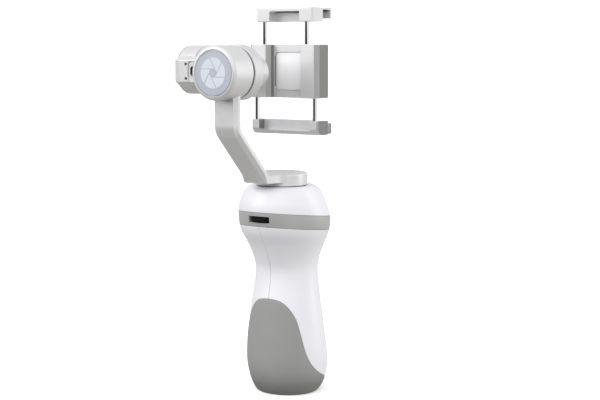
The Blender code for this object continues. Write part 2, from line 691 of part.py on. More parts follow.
def make_roll_arm():
    pivot = (0.0, ROLL_ARM_Y, AXIS_Z)
    path = filleted([(0.0, ROLL_ARM_Y), (ROLL_ARM_CORNER, ROLL_ARM_Y), (-83.6, 8.0)], 5.0)
    section = bar_section(ARM_HALF_WIDTH + 0.15, ROLL_ARM_THICK, ARM_CHAMFER)
    arm = swept("roll_arm", path, [(across, -out) for across, out in section], roll_place, WARM_GREY, pivot)
    hub = disc_outline(ROLL_ARM_END, ROLL_REAR + GAP, ROLL_ARM_Y + ROLL_ARM_THICK / 2.0, 0.8)
    join(arm, turned("arm_hub", hub, "Y", (0.0, AXIS_Z), WARM_GREY, 32))
    can = disc_outline(MOTOR_RADIUS, TILT_SPLIT - GAP, TILT_LEFT + 1.2)
    join(arm, turned("tilt_can", can, "X", (TILT_Y, AXIS_Z), WARM_GREY))
    cavity = disc_outline(MOTOR_RADIUS - MOTOR_WALL, TILT_SPLIT + 2.0, TILT_LEFT + 3.0)
    cut(arm, turned("tilt_cavity", cavity, "X", (TILT_Y, AXIS_Z), WARM_GREY))
    front = ROLL_ARM_Y - ROLL_ARM_THICK / 2.0
    back = ROLL_ARM_Y + ROLL_ARM_THICK / 2.0
    cut(arm, block("usb_pocket", (USB_X - USB_WIDE - GAP, front - 2.0, AXIS_Z - USB_HIGH - GAP),
                   (USB_X + USB_WIDE + GAP, front + 3.5, AXIS_Z + USB_HIGH + GAP), BLACK))
    for side in (-1.0, 1.0):
        hole = disc_outline(SCREW_RADIUS + GAP, front - 2.0, front + 2.6)
        cut(arm, turned("screw_hole", hole, "Y", (SCREW_X, AXIS_Z + side * SCREW_UP), BLACK, 16))
    cut(arm, block("cover_pocket", (-56.3, back - 1.3, AXIS_Z - 7.3), (-9.7, back + 2.0, AXIS_Z + 7.3),
                   BLACK))


def make_roll_arm_details():
    front = ROLL_ARM_Y - ROLL_ARM_THICK / 2.0
    back = ROLL_ARM_Y + ROLL_ARM_THICK / 2.0
    socket = block("arm_usb_socket", (USB_X - USB_WIDE, front + 0.1, AXIS_Z - USB_HIGH),
                   (USB_X + USB_WIDE, front + 3.2, AXIS_Z + USB_HIGH), STEEL)
    cut(socket, block("usb_mouth", (USB_X - USB_WIDE + 0.4, front - 1.0, AXIS_Z - USB_HIGH + 0.4),
                      (USB_X + USB_WIDE - 0.4, front + 2.4, AXIS_Z + USB_HIGH - 0.4), BLACK))
    for name, side in (("arm_screw_low", -1.0), ("arm_screw_high", 1.0)):
        outline = disc_outline(SCREW_RADIUS, front + 2.3, front + 0.5)
        turned(name, outline, "Y", (SCREW_X, AXIS_Z + side * SCREW_UP), STEEL, 16)
    block("roll_arm_cover", (-56.0, back - 1.0, AXIS_Z - 7.0), (-10.0, back - 0.1, AXIS_Z + 7.0),
          WARM_GREY, 0.2)
    cap = disc_outline(MOTOR_RADIUS, TILT_LEFT + 0.9, TILT_LEFT, 0.6)
    turned("tilt_end_cap", cap, "X", (TILT_Y, AXIS_Z), WARM_GREY)
    make_motor("tilt", "X", (TILT_Y, AXIS_Z), TILT_LEFT + 3.3, TILT_LEFT + 5.0, TILT_SPLIT - 2.5)


# ---------------------------------------------------------------- tilt head

def make_tilt_rotor():
    pivot = (TILT_SPLIT, TILT_Y, AXIS_Z)
    bell = [(0.0, TILT_RIGHT), (MOTOR_RADIUS - 1.6, TILT_RIGHT), (MOTOR_RADIUS, TILT_RIGHT - 1.6),
            (MOTOR_RADIUS, TILT_SPLIT + GAP), (MAGNET_OUTER, TILT_SPLIT + GAP),
            (MAGNET_OUTER, TILT_LEFT + 4.4), (MAGNET_INNER, TILT_LEFT + 4.4),
            (MAGNET_INNER, TILT_SPLIT - 1.0), (0.0, TILT_SPLIT - 1.0)]
    rotor = turned("tilt_rotor", bell, "X", (TILT_Y, AXIS_Z), WARM_GREY, FINE, pivot)
    bore = disc_outline(SHAFT_RADIUS + GAP, TILT_SPLIT - 3.0, TILT_RIGHT - 4.0)
    cut(rotor, turned("shaft_bore", bore, "X", (TILT_Y, AXIS_Z), STEEL, COARSE))
    slot = block("bracket_slot", (TILT_RIGHT - 8.0, 7.9, AXIS_Z - 9.6),
                 (TILT_RIGHT + 2.0, 15.1, AXIS_Z + 9.6), BLACK)
    cut(rotor, slot)
    shaft = ring_outline(SHAFT_BORE, SHAFT_RADIUS, TILT_LEFT + 4.0, TILT_RIGHT - 4.3)
    turned("tilt_shaft", shaft, "X", (TILT_Y, AXIS_Z), STEEL, COARSE, pivot)
    block("clamp_bracket", (TILT_RIGHT - 7.7, 8.2, AXIS_Z - 9.3), (-BODY_WIDE - GAP, 14.8, AXIS_Z + 9.3),
          WARM_GREY, 0.8, pivot)


def make_clamp_body():
    pivot = (TILT_SPLIT, TILT_Y, AXIS_Z)
    low, high = AXIS_Z - BODY_HALF, AXIS_Z + BODY_HALF
    corner = BODY_WIDE - BODY_CHAMFER
    outline = [(-BODY_WIDE, BODY_BACK), (-BODY_WIDE, BODY_FRONT + BODY_CHAMFER), (-corner, BODY_FRONT),
               (corner, BODY_FRONT), (BODY_WIDE, BODY_FRONT + BODY_CHAMFER), (BODY_WIDE, BODY_BACK)]
    body = prism("clamp_body", outline, "Z", low, high, WARM_GREY, pivot)
    cut(body, block("centre_step", (RAIL_LEFT_EDGE, BODY_FRONT - 2.0, low - 2.0),
                    (RAIL_RIGHT_EDGE, PLATE_FRONT, high + 2.0), WARM_GREY))
    nick = [(RAIL_LEFT_EDGE - RAIL_CHAMFER - 1.0, BODY_FRONT - 1.0),
            (RAIL_LEFT_EDGE + 1.0, BODY_FRONT - 1.0),
            (RAIL_LEFT_EDGE + 1.0, BODY_FRONT + RAIL_CHAMFER + 1.0)]
    cut(body, prism("rail_nick", nick, "Z", low - 2.0, high + 2.0, WARM_GREY))
    cut(body, block("plate_recess", (RAIL_LEFT_EDGE + PLATE_MARGIN, PLATE_FRONT - 2.0, AXIS_Z - RECESS_HALF),
                    (RAIL_RIGHT_EDGE, PLATE_FRONT + 1.3, AXIS_Z + RECESS_HALF), WARM_GREY))
    for side in (-1.0, 1.0):
        for x, bottom, top in ((UPPER_ROD_X, low + 1.2, high + 2.0), (LOWER_ROD_X, low - 2.0, high - 1.2)):
            hole = disc_outline(ROD_RADIUS + GAP, bottom, top)
            cut(body, turned("rod_hole", hole, "Z", (side * x, ROD_Y), WARM_GREY, COARSE))
    for x in SPRING_X:
        hole = disc_outline(SPRING_OUTER + GAP, low - 2.0, high + 2.0)
        cut(body, turned("spring_hole", hole, "Z", (x, SPRING_Y), WARM_GREY, 16))
    half = RECESS_HALF - GAP
    block("centre_plate", (RAIL_LEFT_EDGE + PLATE_MARGIN + GAP, PLATE_FRONT + 0.7, AXIS_Z - half),
          (RAIL_RIGHT_EDGE - GAP, PLATE_FRONT + 1.2, AXIS_Z + half), WARM_GREY, 0.0, pivot)
    block("back_pad", (2.0 - BODY_WIDE, BODY_BACK + GAP, low + 2.0),
          (BODY_WIDE - 2.0, PHONE_BACK - 0.2, high - 2.0), DARK_RUBBER, 0.3, pivot)


def jaw_outline(side):
    """Hooked section of a jaw, (Y, Z): the rod block, the shelf and the lip in front of the screen."""
    heel = LOWER_HEEL if side < 0.0 else JAW_EDGE
    heights = ((JAW_FRONT, JAW_LOW), (PHONE_BACK - 0.8, JAW_LOW), (PHONE_BACK - 0.8, PHONE_HALF + 1.2),
               (PHONE_FRONT + 0.4, PHONE_HALF + 1.2), (PHONE_FRONT + 0.4, PHONE_HALF - 4.5),
               (JAW_LIP, PHONE_HALF - 4.5), (JAW_LIP, JAW_HIGH - JAW_EDGE), (JAW_LIP - JAW_EDGE, JAW_HIGH),
               (JAW_FRONT + heel, JAW_HIGH), (JAW_FRONT, JAW_HIGH - heel))
    return [(y, AXIS_Z + side * z) for y, z in heights]


def make_jaw(name, side, wide, block_width, depth, rod_x):
    """A jaw with its pad and two rods; side is +1 for the upper jaw and -1 for the lower one."""
    pivot = (0.0, ROD_Y, AXIS_Z + side * JAW_LOW)
    jaw = prism(name + "_jaw", jaw_outline(side), "X", -wide, wide, WARM_GREY, pivot)
    inner = wide - block_width
    reach = sorted((AXIS_Z + side * (JAW_LOW - 2.0), AXIS_Z + side * (JAW_LOW + 6.8)))
    cut(jaw, block("jaw_recess", (-inner, JAW_FRONT - 2.0, reach[0]), (inner, JAW_FRONT + depth, reach[1]),
                   WARM_GREY))
    hole_end = AXIS_Z + side * (ROD_TOP + GAP)
    for label, end in (("left", -1.0), ("right", 1.0)):
        if wide > LIP_WIDE:
            corner = sorted((end * LIP_WIDE, end * (wide + 2.0)))
            middle = AXIS_Z + side * ROD_TOP
            cut(jaw, block("lip_corner", (corner[0], PHONE_BACK - 0.8, middle - 10.0),
                           (corner[1], JAW_LIP + 2.0, middle + 10.0), WARM_GREY))
        hole = disc_outline(ROD_RADIUS + GAP, AXIS_Z + side * (JAW_LOW - 2.0), hole_end)
        cut(jaw, turned("jaw_rod_hole", hole, "Z", (end * rod_x, ROD_Y), WARM_GREY, COARSE))
        rod = disc_outline(ROD_RADIUS, AXIS_Z + side * ROD_BOTTOM, AXIS_Z + side * ROD_TOP)
        turned(name + "_rod_" + label, rod, "Z", (end * rod_x, ROD_Y), CHROME, COARSE, pivot)
    heights = sorted((AXIS_Z + side * PHONE_HALF, AXIS_Z + side * (PHONE_HALF + 0.9)))
    block(name + "_jaw_pad", (2.0 - LIP_WIDE, PHONE_BACK - 0.5, heights[0]),
          (LIP_WIDE - 2.0, PHONE_FRONT + 0.1, heights[1]), DARK_RUBBER, 0.0, pivot)


def make_springs():
    for name, x in zip(("clamp_spring_left", "clamp_spring_right"), SPRING_X):
        tube = ring_outline(SPRING_OUTER - 0.6, SPRING_OUTER, AXIS_Z - 13.0, AXIS_Z + 13.0)
        turned(name, tube, "Z", (x, SPRING_Y), STEEL, 12)


def main():
    for thing in list(bpy.data.objects):
        bpy.data.objects.remove(thing)
    make_shells()
    make_pad()
    make_base()
    make_battery()
    make_boards()
    make_shoulder()
    make_band()
    make_dial()
    make_controls()
    make_pan_motor()
    make_yaw_arm()
    make_pan_arm_details()
    make_roll_rotor()
    make_roll_arm()
    make_roll_arm_details()
    make_tilt_rotor()
    make_clamp_body()
    make_jaw("upper", 1.0, UPPER_JAW_WIDE, UPPER_BLOCK, 8.0, UPPER_ROD_X)
    make_jaw("lower", -1.0, LOWER_JAW_WIDE, LOWER_BLOCK, 6.0, LOWER_ROD_X)
    make_springs()


main()
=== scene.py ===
"""Looks of the phone gimbal: smooth castings, rubber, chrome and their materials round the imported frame.

Lengths are in millimetres and MM turns them into metres when a mesh is made. Every place comes from
the frame's boxes; the outlines repeat those of the CAD model at a finer step, with rounded edges.
"""
from math import atan2, cos, degrees, pi, radians, sin, sqrt, tan

import bmesh
import bpy
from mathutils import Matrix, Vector


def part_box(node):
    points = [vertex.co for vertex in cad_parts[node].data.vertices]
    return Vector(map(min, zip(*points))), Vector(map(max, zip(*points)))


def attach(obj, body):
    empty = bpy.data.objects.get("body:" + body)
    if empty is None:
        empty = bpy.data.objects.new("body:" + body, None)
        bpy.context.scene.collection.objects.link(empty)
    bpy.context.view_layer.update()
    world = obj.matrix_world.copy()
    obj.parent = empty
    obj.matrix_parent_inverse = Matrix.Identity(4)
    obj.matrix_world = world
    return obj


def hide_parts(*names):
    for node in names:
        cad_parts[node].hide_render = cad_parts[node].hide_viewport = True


MM = 0.001
UP = Vector((0.0, 0.0, 1.0))
ROUND = 128                   # sides of the large round pieces
SMALL = 48                    # sides of rods, screws and buttons
ROOM_BASE = 0.56              # light that comes from every side

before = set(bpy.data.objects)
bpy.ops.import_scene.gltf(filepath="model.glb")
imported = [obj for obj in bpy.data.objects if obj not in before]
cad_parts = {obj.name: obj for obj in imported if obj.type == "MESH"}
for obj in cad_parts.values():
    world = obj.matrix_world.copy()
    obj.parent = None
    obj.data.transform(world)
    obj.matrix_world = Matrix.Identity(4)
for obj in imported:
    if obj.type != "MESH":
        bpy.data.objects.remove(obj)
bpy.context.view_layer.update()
PIECES = []


# ---- places read from the frame

def corners(node):
    """Lowest and highest corners of a CAD node in millimetres."""
    low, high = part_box(node)
    return Vector(low) / MM, Vector(high) / MM


def middle(node):
    low, high = corners(node)
    return (low + high) / 2.0


def measure(node):
    """Corners and middle of a round CAD node, and its radius."""
    low, high = corners(node)
    return low, high, (low + high) / 2.0, (high.x - low.x) / 2.0


AXIS_Z = middle("badge_disc").z
MOTOR_RADIUS = measure("yaw_arm")[3]
BELL_RADIUS = measure("roll_rotor")[3]
ROLL_FRONT = corners("yaw_arm")[0].y
ROLL_REAR = corners("roll_rotor")[1].y
ROLL_SPLIT = ROLL_REAR - 10.7
PAN_TOP = middle("pan_top_cover").z + 0.65
SHOULDER_TOP = corners("top_shoulder")[1].z
TILT_RIGHT = corners("tilt_rotor")[1].x
TILT_SPLIT = TILT_RIGHT - 15.0
TILT_LEFT = corners("tilt_end_cap")[0].x
ROLL_AXIS = (0.0, AXIS_Z)      # X and Z; the tilt axis has Y and Z, the pan axis X and Y
TILT_AXIS = (middle("tilt_rotor").y, AXIS_Z)
PAN_AXIS = (0.0, 0.0)
CAP_TOP = corners("base_cap")[1].z

MOTOR_WALL = 1.4              # of the motor housings
PAN_ROOF = 143.9              # height of the ceiling inside the pan motor

ARM_HALF_WIDTH = 9.25
YAW_ARM_THICK = 5.2
YAW_ARM_Y = ROLL_FRONT + 13.7
FOOT_Z = PAN_TOP - YAW_ARM_THICK / 2.0 - 0.2
ARM_CHAMFER = 2.4
ARM_KNEE_Z = 177.0            # height at which the yaw arm turns back to the handle
ARM_BEND = 9.0                # radius of that turn
ROLL_ARM_THICK = 7.0
ROLL_ARM_Y = -31.5
ROLL_ARM_END = 9.8
ROLL_ARM_CORNER = -59.6
BODY_CHAMFER = 2.7
RAIL_CHAMFER = 2.6            # on the left rail's inner edge
PLATE_MARGIN = 0.8            # from the left rail to the plate's recess
CHAMFER_AREA = 4.0            # smaller slanting faces belong to rounded edges, not to a chamfer
RECESS_HALF = 12.6            # half height of the plate's recess
ROD_DEPTH = 16.3              # from the roll axis to the bottom of the rods' holes
SPRING_TURNS = 26
RIB_HEIGHT = 0.28             # of the rubber pads
# the jaws' section: distances from the roll axis in Z, and places in Y
BLOCK_FOOT = 32.3
LIP_FOOT = 34.45
JAW_SHELF = 40.15
JAW_TOP = 41.5
SHELF_BACK = 15.5
SHELF_FRONT = 24.4
LIP_WIDE = 22.2               # half width of the lip
JAW_RECESS = (30.3, 39.1)     # between the end blocks
JAW_CORNER = 1.0              # upright chamfers of the jaws' end blocks
JAW_HEEL = 3.7                # chamfer under the lower jaw's end blocks

WALL = 2.6
PAD_THICK = 1.3
PAD_PROUD = 0.3               # the rubber stands out of the shell round its upper edge
BAND_LOW = 111.0
BAND_HIGH = 120.1
BAND_SLOPE = 0.105
# height, half width (X), half depth (Y), centre Y of the grip, as in the CAD model
GRIP_STATIONS = (
    (0.0, 20.6, 19.6, 6.3),
    (3.2, 23.0, 22.2, 6.8),
    (10.0, 25.8, 25.0, 7.0),
    (21.0, 27.4, 26.4, 6.4),
    (32.0, 27.0, 25.2, 5.7),
    (46.0, 25.6, 23.6, 5.4),
    (61.0, 23.7, 21.7, 5.3),
    (75.0, 22.0, 19.5, 5.8),
    (84.0, 21.6, 18.9, 5.8),
    (92.0, 22.9, 21.2, 5.6),
    (100.0, 25.9, 24.6, 5.2),
    (108.0, 29.3, 28.6, 4.2),
    (113.5, 30.4, 30.0, 3.7),
    (119.5, 30.5, 30.3, 3.1),
    (124.0, 29.8, 29.2, 1.9),
    (129.0, 28.4, 27.8, 1.3),
    (136.0, 25.0, 24.6, 1.1),
    (138.2, 22.9, 22.5, 1.0),
    (139.0, 20.8, 20.4, 1.0),
)
# Rubber grip's upper edge: degrees round from the rear centre, height
PAD_EDGE = (
    (-15.0, 64.1), (0.0, 64.6), (15.0, 64.1), (27.0, 62.2), (40.0, 57.0), (49.0, 50.0), (54.5, 40.6),
    (60.0, 30.6), (68.0, 22.4), (82.0, 15.8), (105.0, 10.8), (125.0, 8.3), (140.0, 7.0),
)


# ---- meshes

def show(thing):
    bpy.context.scene.collection.objects.link(thing)


def finish(name, bm, material, body, replaced=None, sharp=35.0):
    """Make an object of a bmesh in millimetres, shade it, and hang it on its body."""
    bmesh.ops.recalc_face_normals(bm, faces=bm.faces[:])
    bmesh.ops.scale(bm, vec=(MM, MM, MM), verts=bm.verts[:])
    mesh = bpy.data.meshes.new(name)
    bm.to_mesh(mesh)
    bm.free()
    mesh.materials.append(material)
    smooth(mesh, sharp)
    thing = bpy.data.objects.new(name, mesh)
    show(thing)
    if body:
        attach(thing, body)
        PIECES.append(thing)
    if replaced:
        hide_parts(replaced)
    return thing


def apply_modifiers(thing):
    """Replace an object's mesh with what its modifiers make of it."""
    bpy.context.view_layer.update()
    graph = bpy.context.evaluated_depsgraph_get()
    made = bpy.data.meshes.new_from_object(thing.evaluated_get(graph))
    thing.modifiers.clear()
    thing.data = made
    return made


def settle_normals():
    """Keep flat faces flat in the light where they meet rounded edges."""
    for thing in PIECES:
        modifier = thing.modifiers.new("normals", "WEIGHTED_NORMAL")
        modifier.mode = "FACE_AREA"
        modifier.keep_sharp = True
        apply_modifiers(thing)


def smooth(mesh, sharp):
    """Shade a mesh smooth but for the edges sharper than an angle in degrees."""
    mesh.shade_smooth()
    mesh.set_sharp_from_angle(angle=radians(sharp))


def combine(target, tool_mesh, operation):
    """Apply a Boolean with a bmesh in millimetres to an object."""
    tool = finish("tool", tool_mesh, target.data.materials[0], None)
    modifier = target.modifiers.new("boolean", "BOOLEAN")
    modifier.operation = operation
    modifier.object = tool
    smooth(apply_modifiers(target), 35.0)
    bpy.data.objects.remove(tool)


def cut(target, tool_mesh):
    combine(target, tool_mesh, "DIFFERENCE")


def join(target, tool_mesh):
    combine(target, tool_mesh, "UNION")


def soften(thing, width, segments=3, angle=30.0):
    """Round an object's edges and apply it."""
    modifier = thing.modifiers.new("bevel", "BEVEL")
    modifier.width = width * MM
    modifier.segments = segments
    modifier.limit_method = "ANGLE"
    modifier.angle_limit = radians(angle)
    smooth(apply_modifiers(thing), 50.0)


def on_axis(axis, along, side, up):
    return {"X": (along, side, up), "Y": (side, along, up), "Z": (side, up, along)}[axis]


def bridge(bm, lower, upper):
    """Join two rings of points, either of which may be one point."""
    count = max(len(lower), len(upper))
    for index in range(count if count > 1 else 0):
        after = (index + 1) % count
        square = (lower[index % len(lower)], lower[after % len(lower)],
                  upper[after % len(upper)], upper[index % len(upper)])
        bm.faces.new(list(dict.fromkeys(square)))


def turned(outline, axis, centre, sides=ROUND):
    """Turn a closed (radius, height) outline about an axis; flat ends are one face each."""
    bm = bmesh.new()
    rings = []
    for index, (radius, height) in enumerate(outline):
        neighbours = (outline[index - 1], outline[(index + 1) % len(outline)])
        if radius == 0.0 and any(other[0] > 0.0 and other[1] == height for other in neighbours):
            rings.append(None)
            continue
        rings.append([bm.verts.new(on_axis(axis, height, centre[0] + radius * cos(angle),
                                           centre[1] + radius * sin(angle)))
                      for angle in (around(sides) if radius else [0.0])])
    for lower, upper in zip(rings, rings[1:] + rings[:1]):
        if lower is not None and upper is not None:
            bridge(bm, lower, upper)
            continue
        rim = lower or upper
        if rim and len(rim) > 1:
            bm.faces.new(rim)
    return bm


def skin(loops, closed=False, capped=False):
    """Join rings of points; the last may meet the first, or both may be filled in."""
    bm = bmesh.new()
    rings = [[bm.verts.new(point) for point in loop] for loop in loops]
    for lower, upper in zip(rings, rings[1:] + rings[:1] * closed):
        bridge(bm, lower, upper)
    if capped:
        bm.faces.new(rings[0])
        bm.faces.new(rings[-1])
    return bm


def around(count):
    return [2.0 * pi * step / count for step in range(count)]


def rectangle(left, low, right, high):
    return [(left, low), (right, low), (right, high), (left, high)]


def arc(before, corner, after, radius, steps):
    """Points of the arc that rounds a corner between its two neighbours."""
    here = Vector(corner)
    back = (Vector(before) - here).normalized()
    ahead = (Vector(after) - here).normalized()
    half = back.angle(ahead) / 2.0
    reach = radius / tan(half)
    centre = here + (back + ahead).normalized() * radius / sin(half)
    first = here + back * reach - centre
    last = here + ahead * reach - centre
    start = atan2(first.y, first.x)
    sweep = (atan2(last.y, last.x) - start + pi) % (2.0 * pi) - pi
    angles = [start + sweep * step / steps for step in range(steps + 1)]
    return [(centre.x + radius * cos(angle), centre.y + radius * sin(angle)) for angle in angles]


def rounded(points, radius, steps=5):
    """Round the corners of a closed outline; radius is one value or one for each corner."""
    radii = radius if isinstance(radius, list) else [radius] * len(points)
    outline = []
    for index, (corner, size) in enumerate(zip(points, radii)):
        if size > 0.0:
            outline += arc(points[index - 1], corner, points[(index + 1) % len(points)], size, steps)
        else:
            outline.append(tuple(corner))
    return outline


def filleted(points, radius):
    """Round the inner corners of an open path."""
    path = [points[0]]
    for before, corner, after in zip(points, points[1:], points[2:]):
        path += arc(before, corner, after, radius, 14)
    return path + [points[-1]]


def solid_disc(radius, low, high, low_edge=0.0, high_edge=0.0, steps=5):
    """(radius, height) outline of a solid disc with rounded edges; high may be under low."""
    return rounded(rectangle(0.0, low, radius, high), [0.0, low_edge, high_edge, 0.0], steps)


def bore(target, axis, centre, radius, low, high, sides=ROUND):
    """Cut a round hole along an axis."""
    cut(target, turned(solid_disc(radius, low, high), axis, centre, sides))


def prism(outline, axis, low, high, bm=None):
    """Extrude an outline of two coordinates across the axis, into a bmesh where one is given."""
    bm = bm or bmesh.new()
    first = [bm.verts.new(on_axis(axis, low, side, up)) for side, up in outline]
    last = [bm.verts.new(on_axis(axis, high, side, up)) for side, up in outline]
    bm.faces.new(first)
    bm.faces.new(last)
    bridge(bm, first, last)
    return bm


def box(low, high):
    return prism(rectangle(low[0], low[1], high[0], high[1]), "Z", low[2], high[2])


def box_of(node, grow=0.0):
    low, high = corners(node)
    return box(low - Vector((grow,) * 3), high + Vector((grow,) * 3))


def swept(path, sections, place):
    """Sweep a closed section of (across, out) along a flat path, one section for each point."""
    headings = [atan2(end[1] - start[1], end[0] - start[0]) for start, end in zip(path, path[1:])]
    arrivals = headings[:1] + headings
    loops = []
    for point, section, first, second in zip(path, sections, arrivals, headings + headings[-1:]):
        bend = (second - first + pi) % (2.0 * pi) - pi
        heading = first + bend / 2.0
        stretch = 1.0 / cos(bend / 2.0)
        normal = (-sin(heading) * stretch, cos(heading) * stretch)
        loops.append([place(point[0] + out * normal[0], point[1] + out * normal[1], across)
                      for across, out in section])
    return skin(loops, capped=True)


def bar_section(half_width, thick, chamfer, edge=0.75):
    """Cross-section of an arm with wide chamfers on its outer side and all edges softened."""
    half = thick / 2.0
    points = ((-half_width, half), (-half_width, chamfer - half), (chamfer - half_width, -half),
              (half_width - chamfer, -half), (half_width, chamfer - half), (half_width, half))
    return rounded(points, edge, 4)


# ---- materials

def set_inputs(tree, node, inputs):
    """Give each input of a node its value, or link it to the socket given."""
    for name, value in inputs.items():
        if isinstance(value, bpy.types.NodeSocket):
            tree.links.new(value, node.inputs[name])
        else:
            node.inputs[name].default_value = value


def set_shader(material, inputs):
    tree = material.node_tree
    set_inputs(tree, tree.nodes["Principled BSDF"], inputs)


def add_node(tree, kind, output, inputs, **settings):
    """Add a shader node and return one of its outputs."""
    node = tree.nodes.new("ShaderNode" + kind)
    for name, value in settings.items():
        setattr(node, name, value)
    set_inputs(tree, node, inputs)
    return node.outputs[output]


def surface(name, colour, roughness, metallic=0.0, grain=0.25, bump=0.04, mottle=0.03,
            coat=0.0, spread=0.06, stretch=(1.0, 1.0, 1.0)):
    """A moulded, painted or machined surface: fine grain, slow colour drift and uneven gloss.

    grain is the size of the surface texture in millimetres and bump its strength; stretch draws the
    texture out along an axis, as machining does.
    """
    material = bpy.data.materials.new(name)
    material.use_nodes = True
    tree = material.node_tree
    place = add_node(tree, "TexCoord", "Object", {})
    spot = add_node(tree, "Mapping", "Vector", {"Scale": stretch, "Vector": place})
    fine = add_node(tree, "TexNoise", "Fac", {"Scale": 1000.0 / grain, "Detail": 3.0, "Vector": spot})
    slow = add_node(tree, "TexNoise", "Fac", {"Scale": 70.0, "Detail": 4.0, "Vector": spot})
    dark = [channel * (1.0 - mottle) for channel in colour]
    light = [min(channel * (1.0 + mottle), 1.0) for channel in colour]
    tint = add_node(tree, "Mix", "Result", {"A": (*dark, 1.0), "B": (*light, 1.0), "Factor": slow},
                    data_type="RGBA")
    gloss = add_node(tree, "MapRange", "Result", {
        "To Min": max(roughness - spread, 0.03), "To Max": min(roughness + spread, 1.0), "Value": slow})
    relief = add_node(tree, "Bump", "Normal", {"Strength": 1.0, "Distance": bump * MM, "Height": fine})
    set_shader(material, {
        "Metallic": metallic, "Coat Weight": coat, "Coat Roughness": 0.15, "Base Color": tint,
        "Roughness": gloss, "Normal": relief})
    return material


def object_place(tree):
    return tree.nodes["Texture Coordinate"].outputs["Object"]


def emboss(material, height, depth):
    """Take the surface's relief from another pattern, depth millimetres high."""
    set_shader(material, {"Normal": add_node(material.node_tree, "Bump", "Normal", {
        "Distance": depth * MM, "Height": height})})


def spun_metal(name, colour, centre, flat, roughness, metallic):
    """Face-turned metal: fine rings round centre, from a noise of the radius; flat is 0 along the axis."""
    material = surface(name, colour, roughness, metallic, 0.3, 0.01, 0.02)
    tree = material.node_tree
    shift = add_node(tree, "Mapping", "Vector", {
        "Location": [-value * MM * keep for value, keep in zip(centre, flat)], "Scale": flat,
        "Vector": object_place(tree)})
    radius = add_node(tree, "VectorMath", "Value", {0: shift}, operation="LENGTH")
    lines = add_node(tree, "TexNoise", "Fac", {"Scale": 3500.0, "Detail": 2.0, "W": radius},
                     noise_dimensions="1D")
    emboss(material, lines, 0.012)
    return material


def paint_foot_shade(material, height, depth):
    """Darken a material smoothly from a height down to the foot: painted shade where the grip turns in
    below its widest part.
    """
    tree = material.node_tree
    level = add_node(tree, "SeparateXYZ", "Z", {"Vector": object_place(tree)})
    fade = add_node(tree, "MapRange", "Result", {"From Max": height * MM, "To Min": depth, "Value": level},
                    interpolation_type="SMOOTHSTEP")
    paint = tree.nodes["Principled BSDF"].inputs["Base Color"].links[0].from_socket
    darker = add_node(tree, "VectorMath", "Vector", {"Vector": paint, "Scale": fade}, operation="SCALE")
    set_shader(material, {"Base Color": darker})


def circuit_board():
    """Green solder mask with copper tracks and pads."""
    material = surface("board_mask", (0.02, 0.17, 0.08), 0.4, 0.0, 0.3, 0.01, 0.1)
    tree = material.node_tree
    tracks = add_node(tree, "TexBrick", "Color", {
        "Scale": 260.0, "Mortar Size": 0.03, "Color1": (0.015, 0.15, 0.07, 1.0),
        "Color2": (0.02, 0.19, 0.09, 1.0), "Mortar": (0.25, 0.32, 0.12, 1.0), "Vector": object_place(tree)})
    set_shader(material, {"Base Color": tracks})
    return material


def windings():
    """Enamelled copper wire: a fine wave over every tooth."""
    material = surface("copper_wire", (0.62, 0.27, 0.12), 0.3, 1.0, 0.4, 0.02, 0.12)
    tree = material.node_tree
    wire = add_node(tree, "TexWave", "Fac", {
        "Scale": 600.0, "Distortion": 0.6, "Vector": object_place(tree)}, bands_direction="DIAGONAL")
    emboss(material, wire, 0.1)
    return material


WHITE = surface("white_moulding", (0.80, 0.80, 0.83), 0.34, 0.0, 0.35, 0.015, 0.012, coat=0.15)
PAINT = surface("warm_grey_paint", (0.66, 0.66, 0.66), 0.36, 0.3, 0.22, 0.02, 0.02)
# painted shade: darker copies of the paint for X-facing sides and the chamfers beside them
SIDE_PAINTED_SHADE = surface("side_painted_shade", (0.19, 0.195, 0.185), 0.5, 0.1, 0.22, 0.02, 0.03)
CHAMFER_PAINTED_SHADE = surface("chamfer_painted_shade", (0.36, 0.365, 0.355), 0.45, 0.1, 0.22, 0.02, 0.03)
PALE_PAINT = surface("pale_paint", (0.86, 0.86, 0.87), 0.36, 0.2, 0.22, 0.02, 0.02)
JAW_PAINT = surface("jaw_paint", (0.66, 0.66, 0.67), 0.36, 0.2, 0.22, 0.02, 0.02)
BELL_PAINT = surface("bell_paint", (0.64, 0.64, 0.645), 0.42, 0.3, 0.3, 0.035, 0.03)
BAND_PAINT = surface("band_grey", (0.41, 0.41, 0.405), 0.42, 0.15, 0.25, 0.02, 0.03)
SOFT_RUBBER = surface("grip_rubber", (0.30, 0.30, 0.293), 0.72, 0.0, 0.28, 0.06, 0.04)
# painted shade: the rubber grows darker towards the foot, as if the inward-turning base lay in shade
paint_foot_shade(SOFT_RUBBER, 19.0, 0.56)
BLACK_RUBBER = surface("black_rubber", (0.022, 0.022, 0.023), 0.7, 0.0, 0.3, 0.05, 0.15)
BLACK_PLASTIC = surface("black_plastic", (0.012, 0.012, 0.013), 0.35, 0.0, 0.25, 0.03, 0.1)
DIAL_BLACK = surface("dial_black", (0.004, 0.004, 0.004), 0.6, 0.0, 0.25, 0.02, 0.1)
set_shader(DIAL_BLACK, {"Specular IOR Level": 0.15})
CHROME = surface("chrome_rod", (0.82, 0.83, 0.84), 0.06, 1.0, 0.5, 0.002, 0.01, spread=0.03,
                 stretch=(1.0, 1.0, 0.05))
STEEL = surface("machined_steel", (0.50, 0.50, 0.51), 0.3, 1.0, 0.3, 0.01, 0.05, stretch=(1.0, 1.0, 0.2))
DARK_STEEL = surface("dark_steel", (0.12, 0.12, 0.125), 0.4, 1.0, 0.3, 0.01, 0.05)
BRASS = surface("brass", (0.75, 0.55, 0.24), 0.28, 1.0, 0.3, 0.01, 0.06)
COPPER = windings()
BOARD = circuit_board()
CELL = surface("cell_wrap", (0.05, 0.16, 0.40), 0.3, 0.0, 0.8, 0.02, 0.05, coat=0.5)
BADGE = spun_metal("badge_face", (0.47, 0.49, 0.55), (0.0, 0.0, AXIS_Z), (1.0, 0.0, 1.0), 0.38, 0.35)
